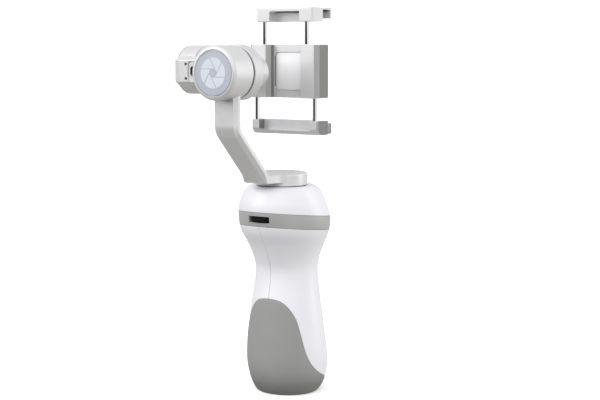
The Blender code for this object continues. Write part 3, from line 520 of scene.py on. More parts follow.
COVER = spun_metal("cover_face", (0.58, 0.58, 0.58), (0.0, 0.0, 0.0), (1.0, 1.0, 0.0), 0.4, 0.3)
PALE_INK = surface("pale_ink", (0.66, 0.69, 0.76), 0.45, 0.0, 0.3, 0.01, 0.02)


# ---- handle

def gradient(low, high, field):
    return (high[field] - low[field]) / (high[0] - low[0])


def curve_at(at, stations, field):
    """A field's value on a smooth curve through stations, each a place and its values."""
    at = min(max(at, stations[0][0]), stations[-1][0])
    index = 0
    while index < len(stations) - 2 and at > stations[index + 1][0]:
        index += 1
    low, high = stations[index], stations[index + 1]
    start_slope = gradient(stations[max(index - 1, 0)], high, field)
    end_slope = gradient(low, stations[min(index + 2, len(stations) - 1)], field)
    span = high[0] - low[0]
    t = (at - low[0]) / span
    return ((2 * t**3 - 3 * t**2 + 1) * low[field] + (t**3 - 2 * t**2 + t) * span * start_slope
            + (3 * t**2 - 2 * t**3) * high[field] + (t**3 - t**2) * span * end_slope)


def grip_point(angle, height, inset):
    half_width, half_depth, centre = (curve_at(height, GRIP_STATIONS, field) for field in (1, 2, 3))
    return ((half_width - inset) * cos(angle), centre + (half_depth - inset) * sin(angle), height)


def sloped(height):
    """Height, round the grip, of a plane that drops towards the user."""
    def height_at(angle):
        z = height
        for _ in range(5):
            z = height - BAND_SLOPE * grip_point(angle, z, 0.0)[1]
        return z
    return height_at


def pad_edge(angle):
    """Height of the rubber grip's upper edge at an angle of the grip."""
    return curve_at(abs((degrees(angle) + 90.0 + 180.0) % 360.0 - 180.0), PAD_EDGE, 1)


def eased_rows(low, high, rows, low_edge, high_edge):
    """Heights from low to high with the insets that round both ends: [(height, inset)]."""
    turns = [radians(22.5 * step) for step in range(5)]
    inner = high - low - low_edge - high_edge
    return ([(low + low_edge * (1.0 - cos(turn)), low_edge * (1.0 - sin(turn))) for turn in turns[:4]]
            + [(low + low_edge + inner * step / rows, 0.0) for step in range(rows + 1)]
            + [(high - high_edge * (1.0 - sin(turn)), high_edge * (1.0 - cos(turn))) for turn in turns[1:]])


def straight_rows(low, high, rows, inset):
    return [(low + (high - low) * step / rows, inset) for step in range(rows + 1)]


def wall(columns, outer_rows, inner_rows, whole=True, spread=0.0, seam=0.0):
    """A closed wall round the grip.

    outer_rows and inner_rows give [(height, inset)] at an angle, both from bottom to top. A half
    wall is moved off the middle by spread, and its outer edges are rounded by seam.
    """
    loops = []
    for number, angle in enumerate(columns):
        extra = 0.0
        from_end = min(number, len(columns) - 1 - number)
        if not whole and from_end < 3:
            extra = seam * (1.0, 0.3, 0.0)[from_end]
        points = [grip_point(angle, z, inset + extra) for z, inset in outer_rows(angle)]
        points += [grip_point(angle, z, inset) for z, inset in reversed(inner_rows(angle))]
        loops.append([(x + spread, y, z) for x, y, z in points])
    return skin(loops, closed=whole, capped=not whole)


def half_round(start, count):
    """Angles over half a turn, with close columns at both ends for the seam's rounding."""
    close = (0.0, 0.008, 0.016)
    return ([start + extra for extra in close]
            + [start + 0.016 + (pi - 0.032) * step / count for step in range(1, count)]
            + [start + pi - extra for extra in reversed(close)])


def make_shells():
    top = sloped(BAND_LOW - 0.15)

    def outer(angle):
        edge = max(pad_edge(angle), CAP_TOP + 1.2)
        sunk = (PAD_THICK + 0.25) * min(max((edge - CAP_TOP - 1.2) / 1.5, 0.0), 1.0)
        rows = [(z, inset + sunk) for z, inset in eased_rows(CAP_TOP + 0.15, edge, 14, 0.1, 0.0)]
        return rows + eased_rows(edge + 0.02, top(angle), 44, 0.3, 0.25)

    def inner(angle):
        return straight_rows(CAP_TOP + 0.15, top(angle), 24, WALL)

    for name, start, spread in (("shell_right", -pi / 2.0, 0.02), ("shell_left", pi / 2.0, -0.02)):
        bm = wall(half_round(start, 72), outer, inner, False, spread, 0.5)
        finish(name, bm, WHITE, "handle", "grip_" + name)


def make_grip_rubber():
    """The rubber inlay: its skin follows the grip, its upper edge rolls down to the shell."""
    reach = radians(118.0)
    columns = [-pi / 2.0 - reach + 2.0 * reach * step / 150.0 for step in range(151)]
    low = CAP_TOP + 0.06

    def upper_edge(angle):
        return max(pad_edge(angle) - 0.12, CAP_TOP + 0.9)

    def outer(angle):
        rows = eased_rows(low, upper_edge(angle), 40, 0.05, 0.8)
        return [(z, inset - PAD_PROUD * min(max((z - 24.0) / 14.0, 0.0), 1.0)) for z, inset in rows]

    def inner(angle):
        return straight_rows(low, upper_edge(angle), 12, PAD_THICK)

    bm = wall(columns, outer, inner, False)
    finish("rubber_inlay", bm, SOFT_RUBBER, "handle", "grip_pad")


def make_base():
    rows = [(0.0, 2.6), (0.0, 1.0), (0.12, 0.45), (0.45, 0.12), (1.0, 0.0)]
    rows += [(1.0 + (CAP_TOP - 1.25) * step / 8.0, 0.0) for step in range(1, 9)]
    rows += [(CAP_TOP - 0.04, 0.0), (CAP_TOP, 0.06)]
    loops = [[grip_point(angle, height, inset) for angle in around(ROUND)] for height, inset in rows]
    bm = skin(loops, capped=True)
    base = finish("base_rubber", bm, SOFT_RUBBER, "handle", "base_cap")
    low, high, socket, radius = measure("tripod_insert")
    bore(base, "Z", socket.xy, radius + 0.2, -1.0, CAP_TOP + 1.0, 64)
    cut(base, turned(rectangle(14.6, -1.0, 15.4, 0.35), "Z", (0.0, 6.3), 96))
    make_insert(low, high, socket, radius)


def make_insert(low, high, socket, radius):
    """Brass insert with the ridges of a quarter-inch thread."""
    pitch = 1.27
    outline = [(3.7, low.z), (radius - 0.3, low.z), (radius, low.z + 0.3), (radius, high.z), (3.2, high.z)]
    turns = int((high.z - low.z - 0.6) / pitch)
    for turn in range(turns, 0, -1):
        outline += [(3.2, low.z + turn * pitch), (2.75, low.z + (turn - 0.5) * pitch)]
    outline.append((3.2, low.z + 0.3))
    bm = turned(outline, "Z", socket.xy, 64)
    finish("threaded_insert", bm, BRASS, "handle", "tripod_insert")


def make_shoulder():
    bottom = sloped(BAND_HIGH + 0.15)
    hole = MOTOR_RADIUS - 0.7
    loops = []
    for angle in around(160):
        low = bottom(angle)
        rows = eased_rows(low, SHOULDER_TOP, 34, 0.25, 0.0)
        points = [grip_point(angle, z, inset) for z, inset in rows]
        edge = Vector(points[-1])
        rim = Vector((hole * cos(angle), hole * sin(angle), SHOULDER_TOP))
        points += [edge.lerp(rim, share) for share in (0.35, 0.7)]
        outward = Vector((cos(angle), sin(angle), 0.0))
        for turn in (radians(22.5 * step) for step in range(5)):
            points.append(rim + outward * (0.5 * (1.0 - sin(turn))) - UP * (0.5 * (1.0 - cos(turn))))
        points += [rim - UP * WALL, grip_point(angle, SHOULDER_TOP - WALL, WALL + 1.5)]
        points += [grip_point(angle, low + (SHOULDER_TOP - WALL - low) * share, WALL)
                   for share in (0.8, 0.6, 0.4, 0.2, 0.0)]
        loops.append(points)
    finish("shoulder_cap", skin(loops, closed=True), WHITE, "handle", "top_shoulder")


def make_band():
    bottom = sloped(BAND_LOW)
    top = sloped(BAND_HIGH)

    def outer(angle):
        return eased_rows(bottom(angle), top(angle), 6, 0.22, 0.22)

    def inner(angle):
        return [(bottom(angle), WALL), (top(angle), WALL)]

    hoop = wall(around(192), outer, inner)
    band = finish("band_ring", hoop, BAND_PAINT, "handle", "control_band")
    low, high, dial, _ = measure("zoom_dial")
    half = (high.z - low.z) / 2.0 + 0.3
    window = rounded(rectangle(-8.0, dial.z - half, 8.0, dial.z + half), 0.5, 4)
    cut(band, prism(window, "Y", -40.0, -22.0))
    for node, gap in (("joystick_cradle", 0.3), ("function_button", 0.25), ("shutter_button", 0.25)):
        _, _, spot, radius = measure(node)
        bore(band, "Y", spot.xz, radius + gap, 20.0, 40.0, 64)
    soften(band, 0.16, 2, 60.0)


def make_dial():
    """Thumb wheel: fine knurls all round, both rims chamfered."""
    low, high, centre, radius = measure("zoom_dial")
    knurls = 44
    loops = []
    levels = ((low.z, 2.3, 0.0), (low.z, radius - 0.9, 0.0), (low.z + 0.5, radius - 0.25, 0.22),
              (low.z + 0.8, radius, 0.3), (high.z - 0.8, radius, 0.3), (high.z - 0.5, radius - 0.25, 0.22),
              (high.z, radius - 0.9, 0.0), (high.z, 2.3, 0.0))
    for height, size, depth in levels:
        points = []
        for angle in around(knurls * 6):
            reach = size - depth * (0.5 - 0.5 * cos(angle * knurls)) ** 2
            points.append((centre.x + reach * cos(angle), centre.y + reach * sin(angle), height))
        loops.append(points)
    wheel = skin(loops, closed=True)
    finish("thumb_wheel", wheel, DIAL_BLACK, "zoom_dial", "zoom_dial", 50.0)


def make_stick():
    """Joystick cap: a dished, ridged top on its stem."""
    low, high, centre, _ = measure("joystick_cap")
    outline = [(0.0, low.y), (1.6, low.y), (1.6, high.y - 1.6), (3.2, high.y - 1.6), (3.6, high.y - 1.3),
               (3.6, high.y - 0.6), (3.3, high.y - 0.15), (2.9, high.y), (2.4, high.y - 0.2),
               (1.4, high.y - 0.55), (0.0, high.y - 0.65)]
    bm = turned(outline, "Y", centre.xz, SMALL)
    stick = finish("stick_cap_top", bm, BLACK_PLASTIC, "stick_cap", "joystick_cap")
    for step in range(4):
        turn = pi / 2.0 * step
        spot = (centre.x + 2.75 * cos(turn), centre.z + 2.75 * sin(turn))
        bore(stick, "Y", spot, 0.28, high.y - 0.3, high.y + 0.5, 12)


def make_buttons():
    for node in ("function_button", "shutter_button"):
        low, high, centre, radius = measure(node)
        dish = [(0.0, low.y), (radius, low.y), (radius, high.y - 0.7), (radius - 0.2, high.y - 0.25),
                (radius - 0.7, high.y), (radius - 1.3, high.y - 0.12), (0.0, high.y - 0.35)]
        bm = turned(dish, "Y", centre.xz, SMALL)
        finish(node + "_cap", bm, WHITE, node, node)


# ---- pan arm

def yaw_place(a, b, across):
    return (across, a, b)


def foot_outline():
    """Plan of the foot: a tab that widens into the round pan motor with a fillet on each side."""
    fillet = 12.0
    centre_x = ARM_HALF_WIDTH + fillet
    centre_y = -sqrt((MOTOR_RADIUS + fillet) ** 2 - centre_x**2)
    right = [(ARM_HALF_WIDTH - 0.02, centre_y - 1.5)]
    end = atan2(-centre_y, -centre_x)
    for step in range(17):
        angle = pi + (end - pi) * step / 16.0
        right.append((centre_x + fillet * cos(angle), centre_y + fillet * sin(angle)))
    right.append((4.0, -3.0))
    return right + [(-x, y) for x, y in reversed(right)]


def make_yaw_arm():
    knee = (YAW_ARM_Y, ARM_KNEE_Z)
    heel = (YAW_ARM_Y + ARM_KNEE_Z - FOOT_Z, FOOT_Z)
    upper = [(YAW_ARM_Y, AXIS_Z - 11.0)]
    upper += filleted([(YAW_ARM_Y, 199.0), knee, heel], ARM_BEND)[1:-1]
    upper.append((heel[0] - 4.0, heel[1] + 4.0))
    lower = [(heel[0] - 0.4, heel[1] + 0.4), (heel[0] + 0.5, heel[1]), (-4.0, FOOT_Z)]
    wide = bar_section(ARM_HALF_WIDTH, YAW_ARM_THICK, ARM_CHAMFER)
    plain = bar_section(ARM_HALF_WIDTH, YAW_ARM_THICK, 0.4, 0.1)
    sections = [wide] * len(upper) + [plain] * len(lower)
    arm = finish("yaw_casting", swept(upper + lower, sections, yaw_place), PAINT, "pan_arm", "yaw_arm")
    pan_can = solid_disc(MOTOR_RADIUS, SHOULDER_TOP + 0.4, PAN_TOP + 0.2, 0.3, 1.7)
    join(arm, turned(pan_can, "Z", PAN_AXIS, 144))
    half = YAW_ARM_THICK / 2.0
    join(arm, prism(foot_outline(), "Z", FOOT_Z - half + 0.03, FOOT_Z + half - 0.28))
    roll_can = solid_disc(MOTOR_RADIUS, ROLL_SPLIT - 0.45, ROLL_FRONT, 0.3, 2.3, 8)
    join(arm, turned(roll_can, "Y", ROLL_AXIS, 144))
    bore(arm, "Y", ROLL_AXIS, 14.3, ROLL_FRONT - 2.0, ROLL_FRONT + 1.2, 144)
    bore(arm, "Z", PAN_AXIS, 12.3, PAN_TOP - 1.3, PAN_TOP + 2.0)
    bore(arm, "Z", PAN_AXIS, MOTOR_RADIUS - MOTOR_WALL, SHOULDER_TOP - 2.0, PAN_ROOF)
    bore(arm, "Y", ROLL_AXIS, MOTOR_RADIUS - MOTOR_WALL, ROLL_SPLIT + 2.0, ROLL_FRONT + 3.4)


def make_badge():
    """Plain spun disc with a thin raised rim, and a lens iris in place of any mark."""
    low, high = corners("badge_disc")
    front, back = low.y, high.y
    outline = [(0.0, back), (14.0, back), (14.0, front + 0.12), (13.85, front), (13.5, front),
               (13.35, front + 0.22), (0.0, front + 0.22)]
    finish("badge_plate", turned(outline, "Y", ROLL_AXIS), BADGE, "pan_arm", "badge_disc")
    make_iris(front)


def make_iris(front):
    """Six pale blades round an open hexagon: a plain ornament of a lens iris."""
    bm = bmesh.new()
    hexagon = 2.9
    rim = 9.6
    for blade in range(6):
        corners_at = [radians(60.0 * (blade + extra)) for extra in range(-1, 2)]
        points = [Vector((hexagon * cos(angle), hexagon * sin(angle))) for angle in corners_at]
        outer = []
        for start, end in ((points[0], points[1]), (points[1], points[2])):
            heading = (end - start).normalized()
            along = end.dot(heading)
            outer.append(end + heading * (sqrt(along**2 + rim**2 - end.length_squared) - along))
        first = atan2(outer[0].y, outer[0].x)
        sweep = (atan2(outer[1].y, outer[1].x) - first) % (2.0 * pi)
        outline = [points[1], points[2]]
        for step in range(13):
            angle = first + sweep * (1.0 - step / 12.0)
            outline.append(Vector((rim * cos(angle), rim * sin(angle))))
        centre = sum(outline, Vector((0.0, 0.0))) / len(outline)
        shrunk = [centre + (point - centre) * 0.93 for point in outline]
        prism([(point.x, AXIS_Z + point.y) for point in shrunk], "Y", front + 0.26, front + 0.1, bm)
    finish("badge_iris", bm, PALE_INK, "pan_arm", None)


def make_pan_cover():
    low, high = corners("pan_top_cover")
    disc = turned(solid_disc(12.0, low.z, high.z + 0.1, 0.0, 0.25), "Z", PAN_AXIS)
    finish("pan_cover", disc, COVER, "pan_arm", "pan_top_cover")


def make_inner_strip():
    """Cable cover lying on the inner side of the yaw arm."""
    inner = YAW_ARM_Y + YAW_ARM_THICK / 2.0
    knee = ARM_KNEE_Z + YAW_ARM_THICK / 2.0 * tan(radians(22.5))
    rise = ARM_KNEE_Z - FOOT_Z
    path = filleted([(inner, 193.8), (inner, knee), (inner + rise - 7.5, knee - rise + 7.5)],
                    ARM_BEND - YAW_ARM_THICK / 2.0)
    section = rounded([(-7.2, 1.0), (-7.2, -0.1), (7.2, -0.1), (7.2, 1.0)], [0.4, 0.0, 0.0, 0.4], 3)
    finish("cable_cover", swept(path, [section] * len(path), yaw_place), PAINT, "pan_arm", "yaw_arm_cover")


# ---- roll arm

def roll_place(a, b, across):
    return (a, b, AXIS_Z + across)


def make_roll_bell():
    front = ROLL_SPLIT + 0.8
    bell = turned(solid_disc(BELL_RADIUS, front, ROLL_REAR, 0.6, 1.6, 6), "Y", ROLL_AXIS, 144)
    finish("roll_bell", bell, BELL_PAINT, "roll_arm", "roll_rotor")
    # painted shade: a black ring fills the gap between the roll bell and its can, standing in for the shade
    # inside the gap
    gap_shade_ring = rectangle(15.2, ROLL_SPLIT - 0.3, BELL_RADIUS - 0.9, front - 0.02)
    finish("roll_gap_shade", turned(gap_shade_ring, "Y", ROLL_AXIS, 128), BLACK_RUBBER, "roll_arm", None)


def make_roll_arm():
    path = filleted([(0.0, ROLL_ARM_Y), (ROLL_ARM_CORNER, ROLL_ARM_Y), (-83.6, 8.0)], 5.0)
    section = bar_section(ARM_HALF_WIDTH + 0.15, ROLL_ARM_THICK, ARM_CHAMFER)
    mirrored = [(across, -out) for across, out in section]
    bar = swept(path, [mirrored] * len(path), roll_place)
    arm = finish("roll_casting", bar, PAINT, "roll_arm", "roll_arm")
    front = ROLL_ARM_Y - ROLL_ARM_THICK / 2.0
    back = ROLL_ARM_Y + ROLL_ARM_THICK / 2.0
    hub = solid_disc(ROLL_ARM_END, ROLL_REAR + 0.3, back - 0.02, 0.3, 0.9)
    join(arm, turned(hub, "Y", ROLL_AXIS, 96))
    can = solid_disc(MOTOR_RADIUS, TILT_SPLIT - 0.3, TILT_LEFT + 1.2, 0.35, 0.3, 4)
    join(arm, turned(can, "X", TILT_AXIS, 144))
    bore(arm, "X", TILT_AXIS, MOTOR_RADIUS - MOTOR_WALL, TILT_SPLIT + 2.0, TILT_LEFT + 3.0)
    panel = rounded(rectangle(-50.6, AXIS_Z - 6.8, -20.0, AXIS_Z + 6.8), 2.6, 6)
    cut(arm, prism(panel, "Y", front - 1.0, front + 0.9))
    usb_low, usb_high = corners("arm_usb_socket")
    cut(arm, prism(usb_outline(usb_low, usb_high, 0.2), "Y", front - 2.0, front + 3.4))
    for node in ("arm_screw_low", "arm_screw_high"):
        spot = middle(node)
        bore(arm, "Y", spot.xz, 1.05, front - 1.0, front + 2.5, 32)
    cut(arm, box_of("roll_arm_cover", 0.15))


def usb_outline(low, high, grow):
    """The rounded hexagon of a micro-USB shell stood on end."""
    left, right = low.x - grow, high.x + grow
    bottom, top = low.z - grow, high.z + grow
    slant = (right - left) * 0.35
    points = [(left, bottom + slant), (left + slant, bottom), (right, bottom), (right, top),
              (left + slant, top), (left, top - slant)]
    return rounded(points, 0.25, 3)


def make_usb():
    low, high, centre, _ = measure("arm_usb_socket")
    front = ROLL_ARM_Y - ROLL_ARM_THICK / 2.0 + 0.55
    tube = prism(usb_outline(low, high, 0.0), "Y", front, high.y)
    shell = finish("usb_shell", tube, STEEL, "roll_arm", "arm_usb_socket")
    cut(shell, prism(usb_outline(low, high, -0.3), "Y", front - 1.0, high.y - 0.5))
    tongue = box((centre.x - 0.15, front + 0.4, low.z + 0.9), (centre.x + 0.4, high.y - 0.4, high.z - 0.9))
    finish("usb_tongue", tongue, BLACK_PLASTIC, "roll_arm", None)


def make_arm_screws():
    """Countersunk screws with a cross slot."""
    for node in ("arm_screw_low", "arm_screw_high"):
        low, high, spot, _ = measure(node)
        outline = [(0.0, high.y), (0.5, high.y), (0.5, low.y + 0.7), (0.95, low.y + 0.15), (0.95, low.y),
                   (0.0, low.y)]
        disc = turned(outline, "Y", spot.xz, 32)
        screw = finish(node + "_head", disc, DARK_STEEL, "roll_arm", node)
        for wide, tall in ((0.6, 0.12), (0.12, 0.6)):
            cut(screw, box((spot.x - wide, low.y - 0.5, spot.z - tall),
                           (spot.x + wide, low.y + 0.4, spot.z + tall)))


def make_tilt_cap():
    low, high = corners("tilt_end_cap")
    disc = turned(solid_disc(MOTOR_RADIUS, high.x, low.x, 0.1, 0.75), "X", TILT_AXIS, 144)
    cap = finish("tilt_cap", disc, PAINT, "roll_arm", "tilt_end_cap")
    cut(cap, turned(rectangle(13.2, low.x - 1.0, 13.5, low.x + 0.25), "X", TILT_AXIS))


def make_arm_cover():
    low, high = corners("roll_arm_cover")
    soften(finish("arm_cover", box(low, high), PAINT, "roll_arm", "roll_arm_cover"), 0.25)


# ---- tilt head

def make_tilt_bell():
    can = turned(solid_disc(MOTOR_RADIUS, TILT_SPLIT + 0.3, TILT_RIGHT, 0.4, 1.6, 6), "X", TILT_AXIS, 144)
    bell = finish("tilt_bell", can, BELL_PAINT, "tilt_head", "tilt_rotor")
    cut(bell, box_of("clamp_bracket", 0.25))


def make_bracket():
    low, high = corners("clamp_bracket")
    outline = rounded(rectangle(low.y, low.z, high.y, high.z), 1.4)
    bracket = finish("bracket_bar", prism(outline, "X", low.x, high.x), PAINT, "tilt_head", "clamp_bracket")
    soften(bracket, 0.3)


def make_clamp_body():
    low, high = corners("clamp_body")
    wide = high.x
    corner = wide - BODY_CHAMFER
    outline = [(-wide, high.y), (-wide, low.y + BODY_CHAMFER), (-corner, low.y), (corner, low.y),
               (wide, low.y + BODY_CHAMFER), (wide, high.y)]
    plate_low, plate_high = corners("centre_plate")
    left = plate_low.x - PLATE_MARGIN - 0.3
    right = plate_high.x + 0.3
    plate = plate_low.y - 0.7
    body = finish("clamp_block", prism(outline, "Z", low.z, high.z), PAINT, "tilt_head", "clamp_body")
    cut(body, box((left, low.y - 2.0, low.z - 2.0), (right, plate, high.z + 2.0)))
    nick = [(left - RAIL_CHAMFER - 1.0, low.y - 1.0), (left + 1.0, low.y - 1.0),
            (left + 1.0, low.y + RAIL_CHAMFER + 1.0)]
    cut(body, prism(nick, "Z", low.z - 2.0, high.z + 2.0))
    soften(body, 0.4)
    edge = left + PLATE_MARGIN
    recess = rectangle(edge, AXIS_Z - RECESS_HALF, right + 3.0, AXIS_Z + RECESS_HALF)
    recess = rounded(recess, [3.4, 0.0, 0.0, 3.4], 8)
    clipped = [(min(x, right - 0.02), z) for x, z in recess]
    cut(body, prism(clipped, "Y", plate - 2.0, plate + 1.3))
    for node in ("upper_rod_left", "upper_rod_right", "lower_rod_left", "lower_rod_right"):
        _, _, spot, radius = measure(node)
        reach = (AXIS_Z - ROD_DEPTH, high.z + 2.0)
        if node.startswith("lower"):
            reach = (low.z - 2.0, AXIS_Z + ROD_DEPTH)
        bore(body, "Z", spot.xy, radius + 0.25, *reach, SMALL)
    # painted shade on the body's X-facing sides and chamfers
    paint_side_shade(body)


def paint_side_shade(thing):
    """Give the faces that look along X, and the chamfers beside them, darker paints: painted shade, as if
    these sides lay in shadow.
    """
    thing.data.materials.append(SIDE_PAINTED_SHADE)
    thing.data.materials.append(CHAMFER_PAINTED_SHADE)
    for face in thing.data.polygons:
        if abs(face.normal.x) > 0.97:
            face.material_index = 1
        elif abs(face.normal.x) > 0.5 and face.area > CHAMFER_AREA * MM**2:
            face.material_index = 2


def make_centre_plate():
    low, high = corners("centre_plate")
    outline = rounded(rectangle(low.x, low.z, high.x, high.z), [3.0, 0.3, 0.3, 3.0], 8)
    sheet = prism(outline, "Y", low.y, high.y)
    soften(finish("recess_plate", sheet, PALE_PAINT, "tilt_head", "centre_plate"), 0.15)


def ribbed_pad(name, node, body, sign, rib_axis, count):
    """A rubber pad with low ribs, side by side along Y or Z, on its face towards Z or Y."""
    low, high = corners(node)
    along, out = (1, 2) if rib_axis == "Y" else (2, 1)
    face, back = (high[out], low[out]) if sign > 0.0 else (low[out], high[out])
    step = (high[along] - low[along]) / count
    foot = face - RIB_HEIGHT * sign
    outline = []
    for number in range(count):
        start = low[along] + number * step
        outline += [(start + 0.12 * step, foot), (start + 0.25 * step, face), (start + 0.75 * step, face),
                    (start + 0.88 * step, foot)]
    outline += [(high[along], back), (low[along], back)]
    if rib_axis == "Z":
        outline = [(depth, height) for height, depth in outline]
    finish(name, prism(outline, "X", low.x, high.x), BLACK_RUBBER, body, node)


def make_springs():
    """Tension springs in the clamp body, wound as a real helix."""
    for node in ("clamp_spring_left", "clamp_spring_right"):
        low, high, centre, _ = measure(node)
        curve = bpy.data.curves.new(node + "_wire", "CURVE")
        curve.dimensions = "3D"
        curve.bevel_depth = 0.28 * MM
        curve.bevel_resolution = 3
        curve.use_fill_caps = True
        points = SPRING_TURNS * 16
        spline = curve.splines.new("POLY")
        spline.points.add(points)
        for index in range(points + 1):
            angle = 2.0 * pi * index / 16.0
            z = low.z + 0.3 + (high.z - low.z - 0.6) * index / points
            spline.points[index].co = ((centre.x + 1.25 * cos(angle)) * MM,
                                       (centre.y + 1.25 * sin(angle)) * MM, z * MM, 1.0)
        thing = bpy.data.objects.new(node + "_coil", curve)
        show(thing)
        curve.materials.append(STEEL)
        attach(thing, "tilt_head")
        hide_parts(node)


# ---- jaws

def jaw_section(side, low_y, high_y):
    """Hooked section of a jaw, (Y, Z): rod block, shelf and the lip in front of the screen."""
    heights = ((low_y, BLOCK_FOOT), (SHELF_BACK, BLOCK_FOOT), (SHELF_BACK, JAW_SHELF),
               (SHELF_FRONT, JAW_SHELF), (SHELF_FRONT, LIP_FOOT), (high_y, LIP_FOOT),
               (high_y, JAW_TOP), (low_y, JAW_TOP))
    radii = [0.5, 0.3, 0.25, 0.25, 0.6, 0.6, 0.9, 0.9]
    return rounded([(y, AXIS_Z + side * z) for y, z in heights], radii)


def make_jaw(name, side, block_width, depth):
    low, high = corners(name + "_jaw")
    wide = high.x
    bar = prism(jaw_section(side, low.y, high.y), "X", -wide, wide)
    jaw = finish(name + "_jaw_shell", bar, JAW_PAINT, name + "_jaw", name + "_jaw")
    inner = wide - block_width
    reach = sorted(AXIS_Z + side * z for z in JAW_RECESS)
    recess = rounded(rectangle(-inner, reach[0], inner, reach[1]), 0.9, 4)
    cut(jaw, prism(recess, "Y", low.y - 2.0, low.y + depth))
    if side > 0.0:
        back = low.y + depth
        cut(jaw, box((-inner + 0.2, back - 0.5, reach[1] - 0.9), (inner - 0.2, back + 2.2, reach[1])))
    if wide > LIP_WIDE + 0.8:
        for end in (-1.0, 1.0):
            limits = sorted((end * LIP_WIDE, end * (wide + 2.0)))
            levels = sorted((AXIS_Z + side * 25.0, AXIS_Z + side * 45.0))
            cut(jaw, box((limits[0], SHELF_BACK, levels[0]), (limits[1], high.y + 2.0, levels[1])))
    for end in (-1.0, 1.0):
        side_face = end * wide
        nick = [(side_face + end, low.y - 1.0), (side_face + end, low.y + JAW_CORNER + 1.0),
                (side_face - end * (JAW_CORNER + 1.0), low.y - 1.0)]
        cut(jaw, prism(nick, "Z", low.z - 2.0, high.z + 2.0))
    if side < 0.0:
        sole = [(low.y - 1.0, low.z + JAW_HEEL + 1.0), (low.y - 1.0, low.z - 1.0),
                (low.y + JAW_HEEL + 1.0, low.z - 1.0)]
        cut(jaw, prism(sole, "X", low.x - 2.0, high.x + 2.0))
    soften(jaw, 0.3, 2, 30.0)
    if side < 0.0:
        # painted shade on the lower jaw's X-facing sides and chamfers
        paint_side_shade(jaw)
    for label in ("left", "right"):
        rod_node = name + "_rod_" + label
        rod_low, rod_high, spot, radius = measure(rod_node)
        bore(jaw, "Z", spot.xy, radius + 0.25, AXIS_Z + side * 30.0, AXIS_Z + side * 37.8, SMALL)
        rod = turned(solid_disc(radius, rod_low.z, rod_high.z, 0.3, 0.3, 3), "Z", spot.xy, 64)
        finish(name + "_chrome_" + label, rod, CHROME, name + "_jaw", rod_node)


# ---- kept CAD nodes

KEPT = (
    (STEEL, "dial_pin joystick_cradle pan_motor_plate pan_bearing pan_stator_tube pan_shaft roll_bearing"
            " roll_stator_tube roll_shaft tilt_bearing tilt_stator_tube tilt_shaft"),
    (DARK_STEEL, "pan_magnet_ring"),
    (COPPER, "pan_windings roll_windings tilt_windings"),
    (BRASS, "battery_contact_low battery_contact_high"),
    (BLACK_PLASTIC, "battery_cradle processor"),
    (CELL, "battery_cell"),
    (BOARD, "main_board"),
)


def dress_kept_nodes():
    for material, nodes in KEPT:
        for node in nodes.split():
            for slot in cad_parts[node].material_slots:
                slot.link = "OBJECT"
                slot.material = material


# ---- studio

LIT_SPOT = Vector((0.0, 0.0, 0.15))
# direction the glow comes from, its strength, how tightly it is gathered
GLOWS = (((0.0, 0.0, 1.0), 0.02, 1.5), ((-0.80, -0.55, 0.25), 0.25, 2.0), ((-0.30, 0.95, 0.10), 0.30, 2.0),
         ((0.75, 0.66, 0.10), 0.40, 3.0), ((0.25, -0.90, 0.30), 1.20, 1.5))


def make_camera():
    data = bpy.data.cameras.new("camera")
    data.sensor_width = 36.0
    data.lens = 81.46
    data.clip_end = 20.0
    camera = bpy.data.objects.new("camera", data)
    camera.location = (0.5049, -0.7377, 0.2298)
    camera.rotation_euler = (radians(90.0 - 6.45), 0.0, radians(33.61))
    show(camera)
    bpy.context.scene.camera = camera


def make_stage():
    """A pale sheet that runs from under the object up into a wall on every side.

    The object is lit by the room and the lamps; the sheet only shows behind it and takes its shadow.
    """
    turns = [radians(90.0 * step / 12.0) for step in range(1, 13)]
    profile = [(0.0, 0.0), (0.4, 0.0), (1.2, 0.0)]
    profile += [(1.2 + 1.2 * sin(turn), 1.2 * (1.0 - cos(turn))) for turn in turns] + [(2.4, 4.0)]
    loops = [[(radius * cos(angle), radius * sin(angle), height) for angle in around(96)]
             if radius else [(0.0, 0.0, height)] for radius, height in profile]
    bm = skin(loops)
    mesh = bpy.data.meshes.new("studio_sheet")
    bm.to_mesh(mesh)
    bm.free()
    paper = surface("studio_paper", (0.93, 0.93, 0.93), 0.9, 0.0, 2.0, 0.01, 0.004)
    set_shader(paper, {"Specular IOR Level": 0.0, "Emission Color": (1.0, 1.0, 1.0, 1.0),
                       "Emission Strength": 0.30})
    mesh.materials.append(paper)
    mesh.shade_smooth()
    sheet = bpy.data.objects.new("studio_sheet", mesh)
    for ray in ("diffuse", "glossy", "transmission", "shadow"):
        setattr(sheet, "visible_" + ray, False)
    show(sheet)


def add_light(name, location, size, power):
    data = bpy.data.lights.new(name, "AREA")
    data.shape = "RECTANGLE"
    data.size, data.size_y = size
    data.energy = power
    lamp = bpy.data.objects.new(name, data)
    lamp.location = location
    lamp.rotation_euler = (LIT_SPOT - Vector(location)).to_track_quat("-Z", "Y").to_euler()
    show(lamp)


def facing(tree, place, direction):
    """How far the view of the room points along a direction, from -1 to 1."""
    return add_node(tree, "VectorMath", "Value", {1: Vector(direction).normalized(), 0: place},
                    operation="DOT_PRODUCT")


def scaled(tree, first, second):
    return add_node(tree, "Math", "Value", {0: first, 1: second}, operation="MULTIPLY")


def darkened(tree, place, level, strength):
    """The room's strength with a dark table under its left front, which chrome shows as a black core."""
    near = add_node(tree, "MapRange", "Result", {
        "From Min": 0.58, "From Max": 0.68, "Value": facing(tree, place, (-0.27, -0.96, -0.10))},
        interpolation_type="SMOOTHSTEP")
    low = add_node(tree, "MapRange", "Result", {"From Min": 0.12, "From Max": 0.0, "Value": level},
                   interpolation_type="SMOOTHSTEP")
    kept = add_node(tree, "MapRange", "Result", {
        "To Min": 1.0, "To Max": 0.03, "Value": scaled(tree, near, low)})
    return scaled(tree, strength, kept)


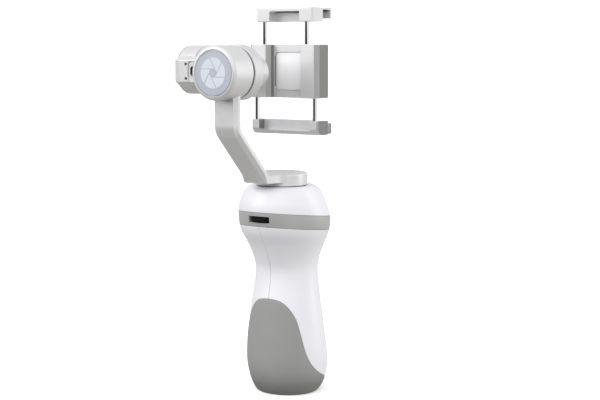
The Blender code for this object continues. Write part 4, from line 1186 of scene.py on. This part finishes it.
def room_light():
    """White light from every side with five soft glows, a little dimmer and warmer from below."""
    world = bpy.data.worlds.new("room")
    world.use_nodes = True
    tree = world.node_tree
    place = add_node(tree, "TexCoord", "Generated", {})
    total = ROOM_BASE
    for direction, strength, power in GLOWS:
        clipped = add_node(tree, "Math", "Value", {0: facing(tree, place, direction), 1: 0.0},
                           operation="MAXIMUM")
        gathered = add_node(tree, "Math", "Value", {0: clipped, 1: power}, operation="POWER")
        total = add_node(tree, "Math", "Value", {0: gathered, 1: strength, 2: total},
                         operation="MULTIPLY_ADD")
    level = add_node(tree, "SeparateXYZ", "Z", {"Vector": place})
    height = add_node(tree, "MapRange", "Result", {"From Min": -0.6, "From Max": 0.3, "Value": level})
    fall = add_node(tree, "MapRange", "Result", {"To Min": 0.82, "Value": height})
    tint = add_node(tree, "Mix", "Result", {
        "A": (1.0, 0.985, 0.95, 1.0), "B": (0.985, 0.985, 1.0, 1.0), "Factor": height}, data_type="RGBA")
    set_inputs(tree, tree.nodes["Background"], {
        "Strength": darkened(tree, place, level, scaled(tree, total, fall)), "Color": tint})
    bpy.context.scene.world = world


def make_lights():
    """Large soft key from the left front, a top light and a strip on the right."""
    add_light("key", (-0.85, -0.95, 0.75), (0.8, 1.0), 7.0)
    add_light("top", (-0.1, -0.1, 1.4), (1.2, 1.2), 0.7)
    add_light("edge", (0.95, 0.75, 0.45), (0.5, 1.0), 3.0)
    room_light()
    bpy.context.scene.view_settings.view_transform = "Standard"


for make in (make_camera, make_stage, make_lights, make_shells, make_grip_rubber, make_base, make_shoulder,
             make_band, make_dial, make_stick, make_buttons, make_yaw_arm, make_badge, make_pan_cover,
             make_inner_strip, make_roll_bell, make_roll_arm, make_usb, make_arm_screws, make_tilt_cap,
             make_arm_cover, make_tilt_bell, make_bracket, make_clamp_body, make_centre_plate,
             make_springs):
    make()
ribbed_pad("phone_back_pad", "back_pad", "tilt_head", 1.0, "Z", 15)
make_jaw("upper", 1.0, 10.3, 8.0)
make_jaw("lower", -1.0, 6.2, 6.0)
ribbed_pad("upper_pad", "upper_jaw_pad", "upper_jaw", -1.0, "Y", 5)
ribbed_pad("lower_pad", "lower_jaw_pad", "lower_jaw", 1.0, "Y", 5)
dress_kept_nodes()
settle_normals()
